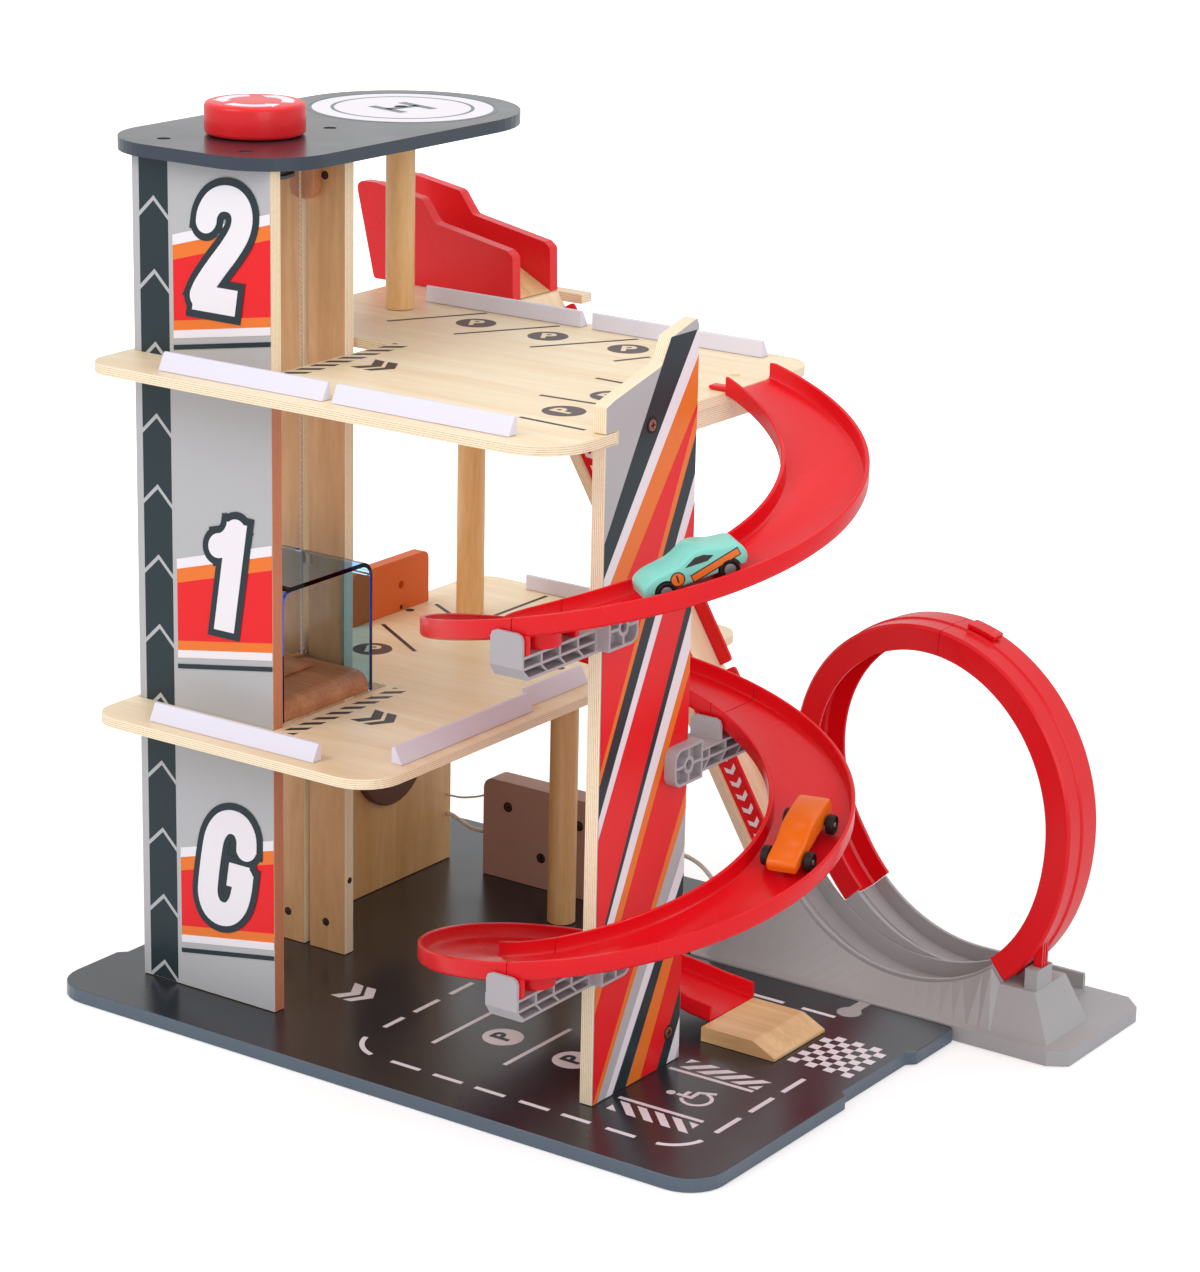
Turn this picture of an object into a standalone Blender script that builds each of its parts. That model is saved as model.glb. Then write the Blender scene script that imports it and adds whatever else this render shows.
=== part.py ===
"""Toy parking garage: plywood decks and a lift tower, a spiral car track, a launch ramp and a loop.

Metres, +Z up. The origin is the centre of the base board's underside, +X runs to the right along
the board's front edge and +Y to the back.
"""

import math

import bmesh
import bpy
from mathutils import Matrix, Vector

MM = 0.001

# Gaps between neighbours
SEAT_GAP = 0.3 * MM
RUN_GAP = 1.2 * MM
OVERLAP = 1.0 * MM

# Sheet and bar stock
BOARD_THICKNESS = 9.0 * MM
PANEL_THICKNESS = 9.0 * MM
FLOOR_THICKNESS = 6.5 * MM
ROOF_THICKNESS = 8.0 * MM
DOWEL_RADIUS = 9.5 * MM
SKIN = 2.5 * MM

# Base board
BOARD_LENGTH = 500.0 * MM
BOARD_FRONT_Y = -205.0 * MM
BOARD_BACK_Y = 205.0 * MM
BOARD_STEP_X = 45.0 * MM
BOARD_STEP_Y = 85.0 * MM
BOARD_CORNER = 25.0 * MM
BOARD_NOTCH_DEPTH = 5.0 * MM
LEFT_NOTCH_Y = (-137.0 * MM, -119.0 * MM)
RIGHT_NOTCH_Y = (-42.0 * MM, 33.0 * MM)
KEY_X = 184.0 * MM
KEY_NECK = 8.0 * MM
KEY_RADIUS = 8.0 * MM
KEY_REACH = 19.0 * MM

# Levels
FLOOR_1_TOP = 196.7 * MM
FLOOR_2_TOP = 420.0 * MM
ROOF_TOP = 551.0 * MM

# Lift tower
TOWER_LEFT = -211.3 * MM
TOWER_RIGHT = -102.3 * MM
TOWER_FRONT = -158.0 * MM
SHAFT_BACK = -55.6 * MM
SHAFT_LEFT = -200.0 * MM
SHAFT_WALL = 1.4 * MM
BACK_BOARD_LEFT = -196.0 * MM
BACK_BOARD_RIGHT = -128.4 * MM
SLIT_X = -160.1 * MM
SLIT_WIDTH = 4.4 * MM
KEEPER_SPACE = 3.3 * MM

# Lift cabin
CABIN_HEIGHT = 86.0 * MM
CABIN_WALL = 3.0 * MM
CABIN_CORNER = 10.0 * MM
CABIN_SIDE_GAP = 1.5 * MM
CABIN_LEFT = -193.0 * MM
CABIN_FLOOR = 12.8 * MM
RUNNER_WIDTH = 3.4 * MM
RUNNER_THICKNESS = 2.4 * MM
RUNNER_RIGHT = -139.8 * MM
RUNNER_BACK_GAP = 12.0 * MM
CABIN_NOSE = 10.5 * MM
KEEPER_WIDTH = 24.0 * MM
KEEPER_THICKNESS = 1.8 * MM

# Lift drive
KNOB_X = -163.5 * MM
KNOB_Y = -99.0 * MM
KNOB_RADIUS = 31.0 * MM
KNOB_HEIGHT = 20.0 * MM
KNOB_ROUND = 2.5 * MM
SPINDLE_RADIUS = 6.0 * MM
DRUM_RADIUS = 20.0 * MM
DRUM_FLANGE = 24.0 * MM
DRUM_FLANGE_THICKNESS = 2.0 * MM
DRUM_HEIGHT = 15.0 * MM
CORD_RADIUS = 0.75 * MM
GUIDE_WIDTH = 20.0 * MM
GUIDE_DEPTH = 8.0 * MM
GUIDE_HEIGHT = 35.5 * MM
GUIDE_X = -156.6 * MM
CORD_DROP = 8.5 * MM
CORD_OFFSET = 1.6 * MM

# Decks
FLOOR_LEFT = -215.0 * MM
FLOOR_FRONT_Y = -202.3 * MM
FLOOR_LEFT_CORNER = 20.0 * MM
FLOOR_1_RIGHT = 9.0 * MM
FLOOR_1_BACK_Y = 204.0 * MM
FLOOR_1_CORNER = 27.0 * MM
FLOOR_2_CORNER = 34.0 * MM
FLOOR_2_RIGHT = 131.0 * MM
FLOOR_2_BACK_Y = 87.0 * MM
FLOOR_2_BACK_CORNER = 24.0 * MM
LOBE_RIGHT = -98.0 * MM
LOBE_BACK_Y = 169.0 * MM
UNDERPLATE_LEFT = 98.0 * MM
UNDERPLATE_FRONT_Y = -48.0 * MM
UNDERPLATE_BACK_Y = 40.0 * MM
UNDERPLATE_THICKNESS = 12.0 * MM
UNDERPLATE_INSET = 3.0 * MM

# Roof
ROOF_LEFT = -235.0 * MM
ROOF_RIGHT = -85.0 * MM
ROOF_FRONT_Y = -173.0 * MM
ROOF_BACK_CENTRE_Y = 43.0 * MM
ROOF_CORNER = 47.0 * MM
ROOF_HOLE_RADIUS = 4.3 * MM
ROOF_HOLES = ((-193.0, -149.0), (-126.0, -152.0), (-144.0, -51.0), (-163.4, 45.0))

# Posts
POST_GROUND = (-52.4 * MM, 81.9 * MM)
POST_FIRST = (-161.0 * MM, 121.2 * MM)
POST_SECOND = (-163.4 * MM, 45.0 * MM)

# Pillar
PILLAR_FACE_X = 138.0 * MM
PILLAR_FRONT_Y = -153.5 * MM
PILLAR_BACK_Y = -60.1 * MM
PILLAR_SLOT_DEPTH = 12.0 * MM
PILLAR_FRONT_RISE = 16.0 * MM
PILLAR_PEAK_RISE = 52.6 * MM

# Ground floor panel with its turning disc
SUPPORT_FACE_X = -185.7 * MM
SUPPORT_BACK_Y = 134.0 * MM
DISC_Y = 62.0 * MM
DISC_Z = 105.0 * MM
DISC_RADIUS = 35.0 * MM
DISC_THICKNESS = 6.0 * MM
DISC_PIN_RADIUS = 3.0 * MM

# Kerbs
KERB_HEIGHT = 10.5 * MM
KERB_DEPTH = 8.0 * MM
KERB_TOP = 2.4 * MM
KERB_ROUND = 0.9 * MM
FRONT_KERB_Y = -184.0 * MM
FLOOR_1_SIDE_KERB_X = -6.8 * MM
FLOOR_1_BACK_KERB_X = -13.8 * MM
FLOOR_1_REAR_KERB_Y = 190.0 * MM
FLOOR_2_REAR_KERB_Y = 72.0 * MM
KERB_1_FRONT = (-173.5 * MM, -43.6 * MM)
KERB_1_SIDE_FRONT = (-162.7 * MM, -27.6 * MM)
KERB_1_SIDE_BACK = (-20.0 * MM, 41.0 * MM)
KERB_1_REAR = (-163.8 * MM, -110.6 * MM)
KERB_2_FRONT_LEFT = (-162.0 * MM, -36.0 * MM)
KERB_2_FRONT_RIGHT = (-29.3 * MM, 98.3 * MM)
KERB_2_REAR_LEFT = (-162.7 * MM, -38.8 * MM)
KERB_2_REAR_RIGHT = (-30.1 * MM, 97.8 * MM)

# Service panel on the first floor
SERVICE_X = -204.0 * MM
SERVICE_Y = (42.0 * MM, 125.0 * MM)
SERVICE_HOLE_Y = 94.2 * MM
SERVICE_HEIGHT = 36.5 * MM

# Launcher on the second floor
LAUNCH_LANE_FRONT_Y = 118.0 * MM
LAUNCH_LANE_WIDTH = 33.5 * MM
LAUNCH_WALL = 8.5 * MM
LAUNCH_LEFT_X = -251.7 * MM
LAUNCH_END_X = -119.8 * MM
LAUNCH_HEIGHT = 65.0 * MM
LAUNCH_DECK_THICKNESS = 16.0 * MM
LAUNCH_SLOPE_LENGTH = 30.0 * MM

# Launch ramp
RAMP_SLOPE = math.radians(58.97)
RAMP_TOP_X = -117.0 * MM
RAMP_FRONT_Y = 103.0 * MM
RAMP_WIDTH = 54.0 * MM
RAMP_THICKNESS = 6.5 * MM
RAMP_RAIL_THICKNESS = 2.5 * MM
NEAR_RAIL_INSET = 3.0 * MM
NEAR_RAIL_HEIGHT = 15.0 * MM
FAR_RAIL_INSET = 2.5 * MM
FAR_RAIL_HEIGHT = 10.0 * MM
RAIL_START = 12.0 * MM
FAR_RAIL_SPLIT = 272.0 * MM
FAR_RAIL_GAP = 4.0 * MM

# Spiral track
TRACK_X = 128.0 * MM
TRACK_Y = -98.5 * MM
TRACK_RADIUS = 104.0 * MM
TRACK_HALF_WIDTH = 25.6 * MM
TRACK_LIP = 11.0 * MM
TRACK_END_TOP = 24.1 * MM
TRACK_END_EASE = 7.0 * MM
TRACK_DEPTH = 10.0 * MM
TRACK_CHAMFER = 2.0 * MM
TRACK_START_ANGLE = 3.0
TRACK_END_ANGLE = 712.8
TRACK_END_X = 134.7 * MM
TRACK_JOINT_GAP = 0.3
TRACK_STEPS = 26
TAB_LENGTH = 12.0 * MM
TAB_WIDTH = 8.0 * MM

# Track brackets
ARM_DROP = 20.5 * MM
ARM_HEIGHT = 14.8 * MM
ARM_WIDTH = 23.0 * MM
BOSS_THICKNESS = 8.0 * MM
BOSS_WIDTH = 30.0 * MM
BOSS_HEIGHT = 24.0 * MM
BOSS_OVERHANG = 4.5 * MM
BRACKET_WEB = 2.0 * MM
BRACKET_RIB = 1.8 * MM
CLIP_THICKNESS = 2.4 * MM
CLIP_HEIGHT = 13.0 * MM
BRACKET_LEAN = 5.0 * MM
BOSS_CORNER = 7.0 * MM
BOSS_PLATE = 2.0 * MM
BOSS_RING = 5.4 * MM
BOSS_HOLE = 3.1 * MM
FOOT_LENGTH = 10.0 * MM
FOOT_WALL = 3.6 * MM
FOOT_RADIUS = 13.0 * MM

# Finish block
FINISH_START_X = 135.0 * MM
FINISH_END_X = 189.0 * MM
FINISH_HEIGHT = 9.8 * MM
FINISH_SLOPE = 16.0 * MM

# Loop and its base
LOOP_FRONT_X = 187.0 * MM
LOOP_BACK_X = 205.0 * MM
LOOP_Z = 130.0 * MM
LOOP_RADIUS_X = 112.0 * MM
LOOP_RADIUS_Z = 117.5 * MM
LOOP_LEAN = -6.9 * MM
LOOP_FLARE = 13.0 * MM
LOOP_FRONT_Y = 130.0 * MM
LOOP_BACK_Y = 167.7 * MM
LOOP_HALF_WIDTH = 18.7 * MM
LOOP_WALL = 14.5 * MM
LANE_WALL = 10.5 * MM
GROOVE_DEPTH = 1.0 * MM
GROOVE_HALF = 2.0 * MM
LANE_START_ANGLE = 209.6
RIGHT_JOINT_ANGLE = -51.5
LEFT_JOINT_ANGLE = 224.5
SHIFT_END_ANGLE = 208.0
TOP_JOINT_ANGLE = 85.0
LOOP_JOINT_GAP = 0.2
LOOP_STEPS = 28
BASE_LEFT = 49.0 * MM
BASE_RIGHT = 327.0 * MM
BASE_BACK_Y = 196.0 * MM
BASE_FOOT = 10.0 * MM
BASE_CORNER = 12.0 * MM
SKIRT = 3.0 * MM
EXIT_X = 288.0 * MM
SOCKET_TOP = 35.4 * MM
SOCKET_TOP_X = (268.0 * MM, 292.4 * MM)
SOCKET_TOP_Y = (109.0 * MM, 150.0 * MM)
SOCKET_FOOT_X = (262.0 * MM, 315.0 * MM)
SOCKET_FOOT_Y = (89.0 * MM, 146.0 * MM)
COLLAR_X = (283.2 * MM, 292.0 * MM)
COLLAR_Y = (112.0 * MM, 131.5 * MM)
COLLAR_TOP = 48.7 * MM
FRONT_WALL_TOP_Y = 109.6 * MM
FRONT_WALL_FOOT_Y = 89.0 * MM
PEG_THICKNESS = 8.0 * MM
PEG_LOW_ANGLE = -38.0
PEG_HIGH_ANGLE = -32.5
PEG_BOTTOM = 36.0 * MM
CLIP_RISE = 3.0 * MM
CLIP_START_ANGLE = 70.0
CLIP_END_ANGLE = 80.0
CLIP_WIDTH = 12.0 * MM

# Station block and its cords
STATION_LEFT = -148.7 * MM
STATION_RIGHT = -42.0 * MM
STATION_FRONT_Y = 122.7 * MM
STATION_THICKNESS = 18.0 * MM
STATION_HEIGHT = 71.0 * MM
STATION_CORNER = 8.0 * MM
STRING_RADIUS = 0.7 * MM
HOSE_RADIUS = 1.5 * MM
GLAND_X = 57.0 * MM
GLAND_Y = 117.5 * MM
GLAND_RADIUS = 4.0 * MM
GLAND_HEIGHT = 6.0 * MM

# Cars
CAR_LENGTH = 63.0 * MM
COUPE_WIDTH = 26.0 * MM
COUPE_WHEEL_OUTER = 13.6 * MM
HATCH_WIDTH = 19.0 * MM
HATCH_WHEEL_OUTER = 15.6 * MM
WHEEL_RADIUS = 6.0 * MM
WHEEL_WIDTH = 4.8 * MM
WHEEL_CHAMFER = 0.6 * MM
WHEEL_BASE = 38.0 * MM
AXLE_RADIUS = 1.2 * MM
AXLE_GAP = 0.35 * MM
ARCH_GAP = 0.9 * MM
CAR_LIFT = 1.1 * MM
UPPER_CAR_TURN = 0.36
LOWER_CAR_TURN = 1.217

# Worked out from the sizes above
FLOOR_1_UNDER = FLOOR_1_TOP - FLOOR_THICKNESS
FLOOR_2_UNDER = FLOOR_2_TOP - FLOOR_THICKNESS
ROOF_UNDER = ROOF_TOP - ROOF_THICKNESS
BOARD_RIGHT = BOARD_LENGTH / 2
ON_BOARD = BOARD_THICKNESS + SEAT_GAP
TOWER_BACK = TOWER_FRONT + PANEL_THICKNESS
BACK_BOARDS_END = SHAFT_BACK + PANEL_THICKNESS
SHAFT_RIGHT = TOWER_RIGHT - SHAFT_WALL
PILLAR_INNER_X = PILLAR_FACE_X - PANEL_THICKNESS
LAUNCH_LANE_BACK_Y = LAUNCH_LANE_FRONT_Y + LAUNCH_LANE_WIDTH
RAMP_BACK_Y = RAMP_FRONT_Y + RAMP_WIDTH
LOBE_NOTCH_X = RAMP_TOP_X - SEAT_GAP
RAMP_DOWN = Vector((math.cos(RAMP_SLOPE), 0.0, -math.sin(RAMP_SLOPE)))
RAMP_NORMAL = Vector((math.sin(RAMP_SLOPE), 0.0, math.cos(RAMP_SLOPE)))
RAMP_TOP = Vector((RAMP_TOP_X, 0.0, FLOOR_2_TOP))
TRACK_START_TOP = FLOOR_2_TOP + TRACK_LIP
TRACK_PITCH = (TRACK_START_TOP - TRACK_END_TOP) * 360.0 / TRACK_END_ANGLE
TRACK_SLOPE = math.atan2(TRACK_PITCH, math.tau * TRACK_RADIUS)
CABIN_FRONT_Y = TOWER_BACK + CABIN_SIDE_GAP
CABIN_BACK_Y = SHAFT_BACK - CABIN_SIDE_GAP
CABIN_RIGHT = SHAFT_RIGHT - RUN_GAP
CABIN_BOTTOM = FLOOR_1_TOP + SEAT_GAP
CORD_X = GUIDE_X + 0.6 * MM
RUNNER_TOP = CABIN_BOTTOM + CABIN_FLOOR + SEAT_GAP + RUNNER_THICKNESS
CORD_Y = SHAFT_BACK - SEAT_GAP - GUIDE_DEPTH - CORD_OFFSET
CORD_TOP = ROOF_UNDER - SEAT_GAP - CORD_DROP
BASE_FRONT_Y = BOARD_STEP_Y + SEAT_GAP

BIRCH = ((0.79, 0.61, 0.38), 0.45)
BEECH = ((0.72, 0.46, 0.22), 0.45)
CHARCOAL = ((0.026, 0.032, 0.042), 0.3)
RED_PAINT = ((0.68, 0.017, 0.017), 0.35)
RED_PLASTIC = ((0.85, 0.021, 0.03), 0.3)
GREY_PLASTIC = ((0.26, 0.25, 0.255), 0.45)
WHITE_PAINT = ((0.8, 0.78, 0.87), 0.4)
ORANGE_PAINT = ((0.75, 0.14, 0.027), 0.4)
BROWN_PAINT = ((0.3, 0.14, 0.1), 0.5)
SALMON = ((0.61, 0.28, 0.156), 0.45)
BLUE_ACRYLIC = ((0.05, 0.25, 0.6), 0.1)
TURQUOISE = ((0.19, 0.68, 0.55), 0.3)
CAR_ORANGE = ((0.9, 0.19, 0.013), 0.3)
TYRE_BLACK = ((0.02, 0.018, 0.018), 0.5)
CORD_WHITE = ((0.75, 0.72, 0.66), 0.8)
LIFT_GREY = ((0.12, 0.12, 0.125), 0.5)


def clear_scene():
    """Remove the scene's own objects and make the two collections."""
    for old in list(bpy.data.objects):
        bpy.data.objects.remove(old, do_unlink=True)
    made = []
    for name in ("toy_garage", "cutters"):
        collection = bpy.data.collections.new(name)
        bpy.context.scene.collection.children.link(collection)
        made.append(collection)
    return made


PARTS, CUTTERS = clear_scene()


def finish_of(obj, finish):
    """Give an object its own Principled material."""
    colour, roughness = finish
    material = bpy.data.materials.new(obj.name)
    material.use_nodes = True
    shader = material.node_tree.nodes["Principled BSDF"]
    shader.inputs["Base Color"].default_value = (*colour, 1.0)
    shader.inputs["Roughness"].default_value = roughness
    shader.inputs["Metallic"].default_value = 0.0
    obj.data.materials.clear()
    obj.data.materials.append(material)


def add_part(name, data, finish):
    part = bpy.data.objects.new(name, data)
    PARTS.objects.link(part)
    if finish is not None:
        finish_of(part, finish)
    return part


def add_cutter(name, data):
    cutter = bpy.data.objects.new(name, data)
    CUTTERS.objects.link(cutter)
    cutter.hide_render = True
    cutter.display_type = "WIRE"
    return cutter


def boolean(obj, other, operation):
    modifier = obj.modifiers.new(operation.title(), "BOOLEAN")
    modifier.operation = operation
    modifier.object = other


def mesh_from(name, bm):
    bmesh.ops.recalc_face_normals(bm, faces=bm.faces)
    if bm.calc_volume(signed=True) < 0:
        bmesh.ops.reverse_faces(bm, faces=bm.faces)
    mesh = bpy.data.meshes.new(name)
    bm.to_mesh(mesh)
    bm.free()
    return mesh


def smooth(obj, angle=35.0):
    obj.data.shade_smooth()
    obj.data.set_sharp_from_angle(angle=math.radians(angle))


def rounded(corners, steps=7):
    """Outline points from (x, y, radius) corners, with each radius drawn as an arc."""
    points = []
    for index, (x, y, radius) in enumerate(corners):
        here = Vector((x, y))
        if not radius:
            points.append(here)
            continue
        before = (Vector(corners[index - 1][:2]) - here).normalized()
        after = (Vector(corners[(index + 1) % len(corners)][:2]) - here).normalized()
        half = before.angle(after) / 2
        centre = here + (before + after).normalized() * radius / math.sin(half)
        start = here + before * radius / math.tan(half) - centre
        turn = math.pi - 2 * half
        sign = 1.0 if before.cross(after) < 0 else -1.0
        for step in range(steps + 1):
            swing = Matrix.Rotation(sign * turn * step / steps, 2)
            points.append(centre + swing @ start)
    return points


def disc_outline(centre, radius, steps=24):
    x, y = centre
    turns = [math.tau * step / steps for step in range(steps)]
    return [Vector((x + radius * math.cos(t), y + radius * math.sin(t))) for t in turns]


PLANES = {
    "XY": Matrix.Identity(4),
    "XZ": Matrix(((1, 0, 0, 0), (0, 0, -1, 0), (0, 1, 0, 0), (0, 0, 0, 1))),
    "YZ": Matrix(((0, 0, 1, 0), (1, 0, 0, 0), (0, 1, 0, 0), (0, 0, 0, 1))),
}
ACROSS = {"XY": Vector((0, 0, 1)), "XZ": Vector((0, 1, 0)), "YZ": Vector((1, 0, 0))}


def sheet(name, outlines, plane, start, thickness, finish):
    """A flat piece: its outline first, then any holes, from start along the third axis."""
    curve = bpy.data.curves.new(name, "CURVE")
    curve.dimensions = "2D"
    curve.fill_mode = "BOTH"
    curve.extrude = thickness / 2
    for outline in outlines:
        spline = curve.splines.new("POLY")
        spline.points.add(len(outline) - 1)
        for point, (x, y) in zip(spline.points, outline):
            point.co = (x, y, 0.0, 1.0)
        spline.use_cyclic_u = True
    part = add_part(name, curve, finish)
    part.matrix_world = Matrix.Translation(ACROSS[plane] * (start + thickness / 2)) @ PLANES[plane]
    return part


def as_mesh(part):
    """The same piece as a mesh with welded caps, for a cut or a join."""
    bpy.context.view_layer.update()
    graph = bpy.context.evaluated_depsgraph_get()
    mesh = bpy.data.meshes.new_from_object(part.evaluated_get(graph))
    bm = bmesh.new()
    bm.from_mesh(mesh)
    bmesh.ops.remove_doubles(bm, verts=bm.verts, dist=0.001 * MM)
    bmesh.ops.recalc_face_normals(bm, faces=bm.faces)
    bm.to_mesh(mesh)
    bm.free()
    name = part.name
    place = part.matrix_world.copy()
    home = part.users_collection[0]
    bpy.data.objects.remove(part, do_unlink=True)
    solid = bpy.data.objects.new(name, mesh)
    home.objects.link(solid)
    solid.matrix_world = place
    return solid


def box_mesh(name, low, high, bevel=0.0, edges=None):
    """A box between two corners; edges picks the ones to bevel, or all of them."""
    bm = bmesh.new()
    bmesh.ops.create_cube(bm, size=1.0)
    size = [b - a for a, b in zip(low, high)]
    middle = [(a + b) / 2 for a, b in zip(low, high)]
    bmesh.ops.scale(bm, vec=size, verts=bm.verts)
    bmesh.ops.translate(bm, vec=middle, verts=bm.verts)
    if bevel:
        chosen = [edge for edge in bm.edges if edges is None or edges(edge)]
        bmesh.ops.bevel(
            bm, geom=chosen, offset=bevel, segments=2, profile=0.5, affect="EDGES", material=-1
        )
    return mesh_from(name, bm)


def box(name, low, high, finish, bevel=0.0, edges=None):
    return add_part(name, box_mesh(name, low, high, bevel, edges), finish)


def cutter_box(name, low, high):
    return add_cutter(name, box_mesh(name, low, high))


def joined(part, others):
    """Union the other objects into a part, and keep them as helpers."""
    for other in others:
        for home in list(other.users_collection):
            home.objects.unlink(other)
        CUTTERS.objects.link(other)
        other.hide_render = True
        other.display_type = "WIRE"
        boolean(part, other, "UNION")
    return part


def rod_mesh(name, radius, length, segments):
    """A cylinder along +Z from the origin."""
    bm = bmesh.new()
    bmesh.ops.create_cone(
        bm, cap_ends=True, segments=segments, radius1=radius, radius2=radius, depth=length
    )
    bmesh.ops.translate(bm, vec=(0, 0, length / 2), verts=bm.verts)
    return mesh_from(name, bm)


def turned(name, profile, place, finish, steps=32):
    """A piece turned about its own Z axis from (radius, height) points, top to bottom."""
    bm = bmesh.new()
    points = [bm.verts.new((radius, 0.0, height)) for radius, height in profile]
    for first, second in zip(points, points[1:]):
        bm.edges.new((first, second))
    mesh = bpy.data.meshes.new(name)
    bm.to_mesh(mesh)
    bm.free()
    part = add_part(name, mesh, finish)
    part.matrix_world = place
    screw = part.modifiers.new("Screw", "SCREW")
    screw.steps = steps
    screw.render_steps = steps
    screw.use_merge_vertices = True
    screw.merge_threshold = 0.01 * MM
    return part


def tube(name, points, radius, finish):
    """A round cord along a smooth curve through the route's own points."""
    curve = bpy.data.curves.new(name, "CURVE")
    curve.dimensions = "3D"
    curve.bevel_depth = radius
    curve.bevel_resolution = 2
    curve.use_fill_caps = True
    route = smooth_route(points)
    spline = curve.splines.new("POLY")
    spline.points.add(len(route) - 1)
    for point, place in zip(spline.points, route):
        point.co = (*place, 1.0)
    return add_part(name, curve, finish)


def smooth_route(points, between=4):
    """Points on a Catmull-Rom curve through the given ones."""
    nodes = [Vector(point) for point in points]
    nodes = [2 * nodes[0] - nodes[1], *nodes, 2 * nodes[-1] - nodes[-2]]
    route = []
    for a, b, c, d in zip(nodes, nodes[1:], nodes[2:], nodes[3:]):
        for step in range(between):
            t = step / between
            cubic = (3 * b - a - 3 * c + d) * t**3 + (2 * a - 5 * b + 4 * c - d) * t**2
            route.append((cubic + (c - a) * t + 2 * b) / 2)
    route.append(nodes[-2])
    return route


def keyhole(neck, radius, edge_y, reach):
    """Points of a round-headed key that runs from an edge towards -Y, right side first."""
    centre_y = edge_y - reach
    half = math.asin(neck / 2 / radius)
    steps = 12
    points = [(KEY_X + neck / 2, edge_y)]
    for step in range(steps + 1):
        turn = math.pi / 2 - half - (math.tau - 2 * half) * step / steps
        points.append((KEY_X + radius * math.cos(turn), centre_y + radius * math.sin(turn)))
    points.append((KEY_X - neck / 2, edge_y))
    return [Vector(point) for point in points]


def base_board():
    """The charcoal board, stepped at the back, with a key recess for the loop's base."""
    left_low, left_high = LEFT_NOTCH_Y
    right_low, right_high = RIGHT_NOTCH_Y
    depth = BOARD_NOTCH_DEPTH
    corners = [
        (-BOARD_RIGHT, BOARD_FRONT_Y, BOARD_CORNER),
        (BOARD_RIGHT, BOARD_FRONT_Y, BOARD_CORNER),
        (BOARD_RIGHT, right_low - depth, 0),
        (BOARD_RIGHT - depth, right_low, 0),
        (BOARD_RIGHT - depth, right_high, 0),
        (BOARD_RIGHT, right_high + depth, 0),
        (BOARD_RIGHT, BOARD_STEP_Y, 4.0 * MM),
    ]
    outline = rounded(corners)[: len(rounded(corners))]
    recess = keyhole(KEY_NECK + 2 * SEAT_GAP, KEY_RADIUS + SEAT_GAP, BOARD_STEP_Y, KEY_REACH)
    rest = [
        (BOARD_STEP_X, BOARD_STEP_Y, 0),
        (BOARD_STEP_X, BOARD_BACK_Y, 12.0 * MM),
        (-BOARD_RIGHT, BOARD_BACK_Y, BOARD_CORNER),
        (-BOARD_RIGHT, left_high + depth, 0),
        (-BOARD_RIGHT + depth, left_high, 0),
        (-BOARD_RIGHT + depth, left_low, 0),
        (-BOARD_RIGHT, left_low - depth, 0),
    ]
    whole = rounded(corners + rest)
    split = next(i for i, point in enumerate(whole) if point.x < BOARD_RIGHT - 2 * BOARD_CORNER
                 and point.y > 0)
    outline = whole[:split] + recess + whole[split:]
    return sheet("base_board", [outline], "XY", 0.0, BOARD_THICKNESS, CHARCOAL)


def tower():
    """Front panel and the two back boards, with the slit for the lift's runner between them."""
    top = ROOF_UNDER - SEAT_GAP
    low = (TOWER_LEFT, TOWER_FRONT, ON_BOARD)
    box("tower_front_panel", low, (TOWER_RIGHT, TOWER_BACK, top), BIRCH)
    half = SLIT_WIDTH / 2
    spans = {
        "tower_back_board_left": (BACK_BOARD_LEFT, SLIT_X - half),
        "tower_back_board_right": (SLIT_X + half, BACK_BOARD_RIGHT),
    }
    for name, (left, right) in spans.items():
        box(name, (left, SHAFT_BACK, ON_BOARD), (right, BACK_BOARDS_END, top), BIRCH)


def shaft_hole():
    """The lift shaft's cut-out in a floor, which also lets the tower's front panel through."""
    gap = SEAT_GAP
    back = BACK_BOARDS_END + KEEPER_SPACE
    points = [
        (TOWER_LEFT - gap, TOWER_FRONT - gap),
        (TOWER_RIGHT + gap, TOWER_FRONT - gap),
        (TOWER_RIGHT + gap, TOWER_BACK + gap),
        (SHAFT_RIGHT, TOWER_BACK + gap),
        (SHAFT_RIGHT, back),
        (SHAFT_LEFT, back),
        (SHAFT_LEFT, TOWER_BACK + gap),
        (TOWER_LEFT - gap, TOWER_BACK + gap),
    ]
    return [Vector(point) for point in points]


def floor_1():
    outline = rounded([
        (FLOOR_LEFT, FLOOR_FRONT_Y, FLOOR_LEFT_CORNER),
        (FLOOR_1_RIGHT, FLOOR_FRONT_Y, FLOOR_1_CORNER),
        (FLOOR_1_RIGHT, FLOOR_1_BACK_Y, FLOOR_LEFT_CORNER),
        (FLOOR_LEFT, FLOOR_1_BACK_Y, FLOOR_LEFT_CORNER),
    ])
    sheet("floor_1", [outline, shaft_hole()], "XY", FLOOR_1_UNDER, FLOOR_THICKNESS, BIRCH)


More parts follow.
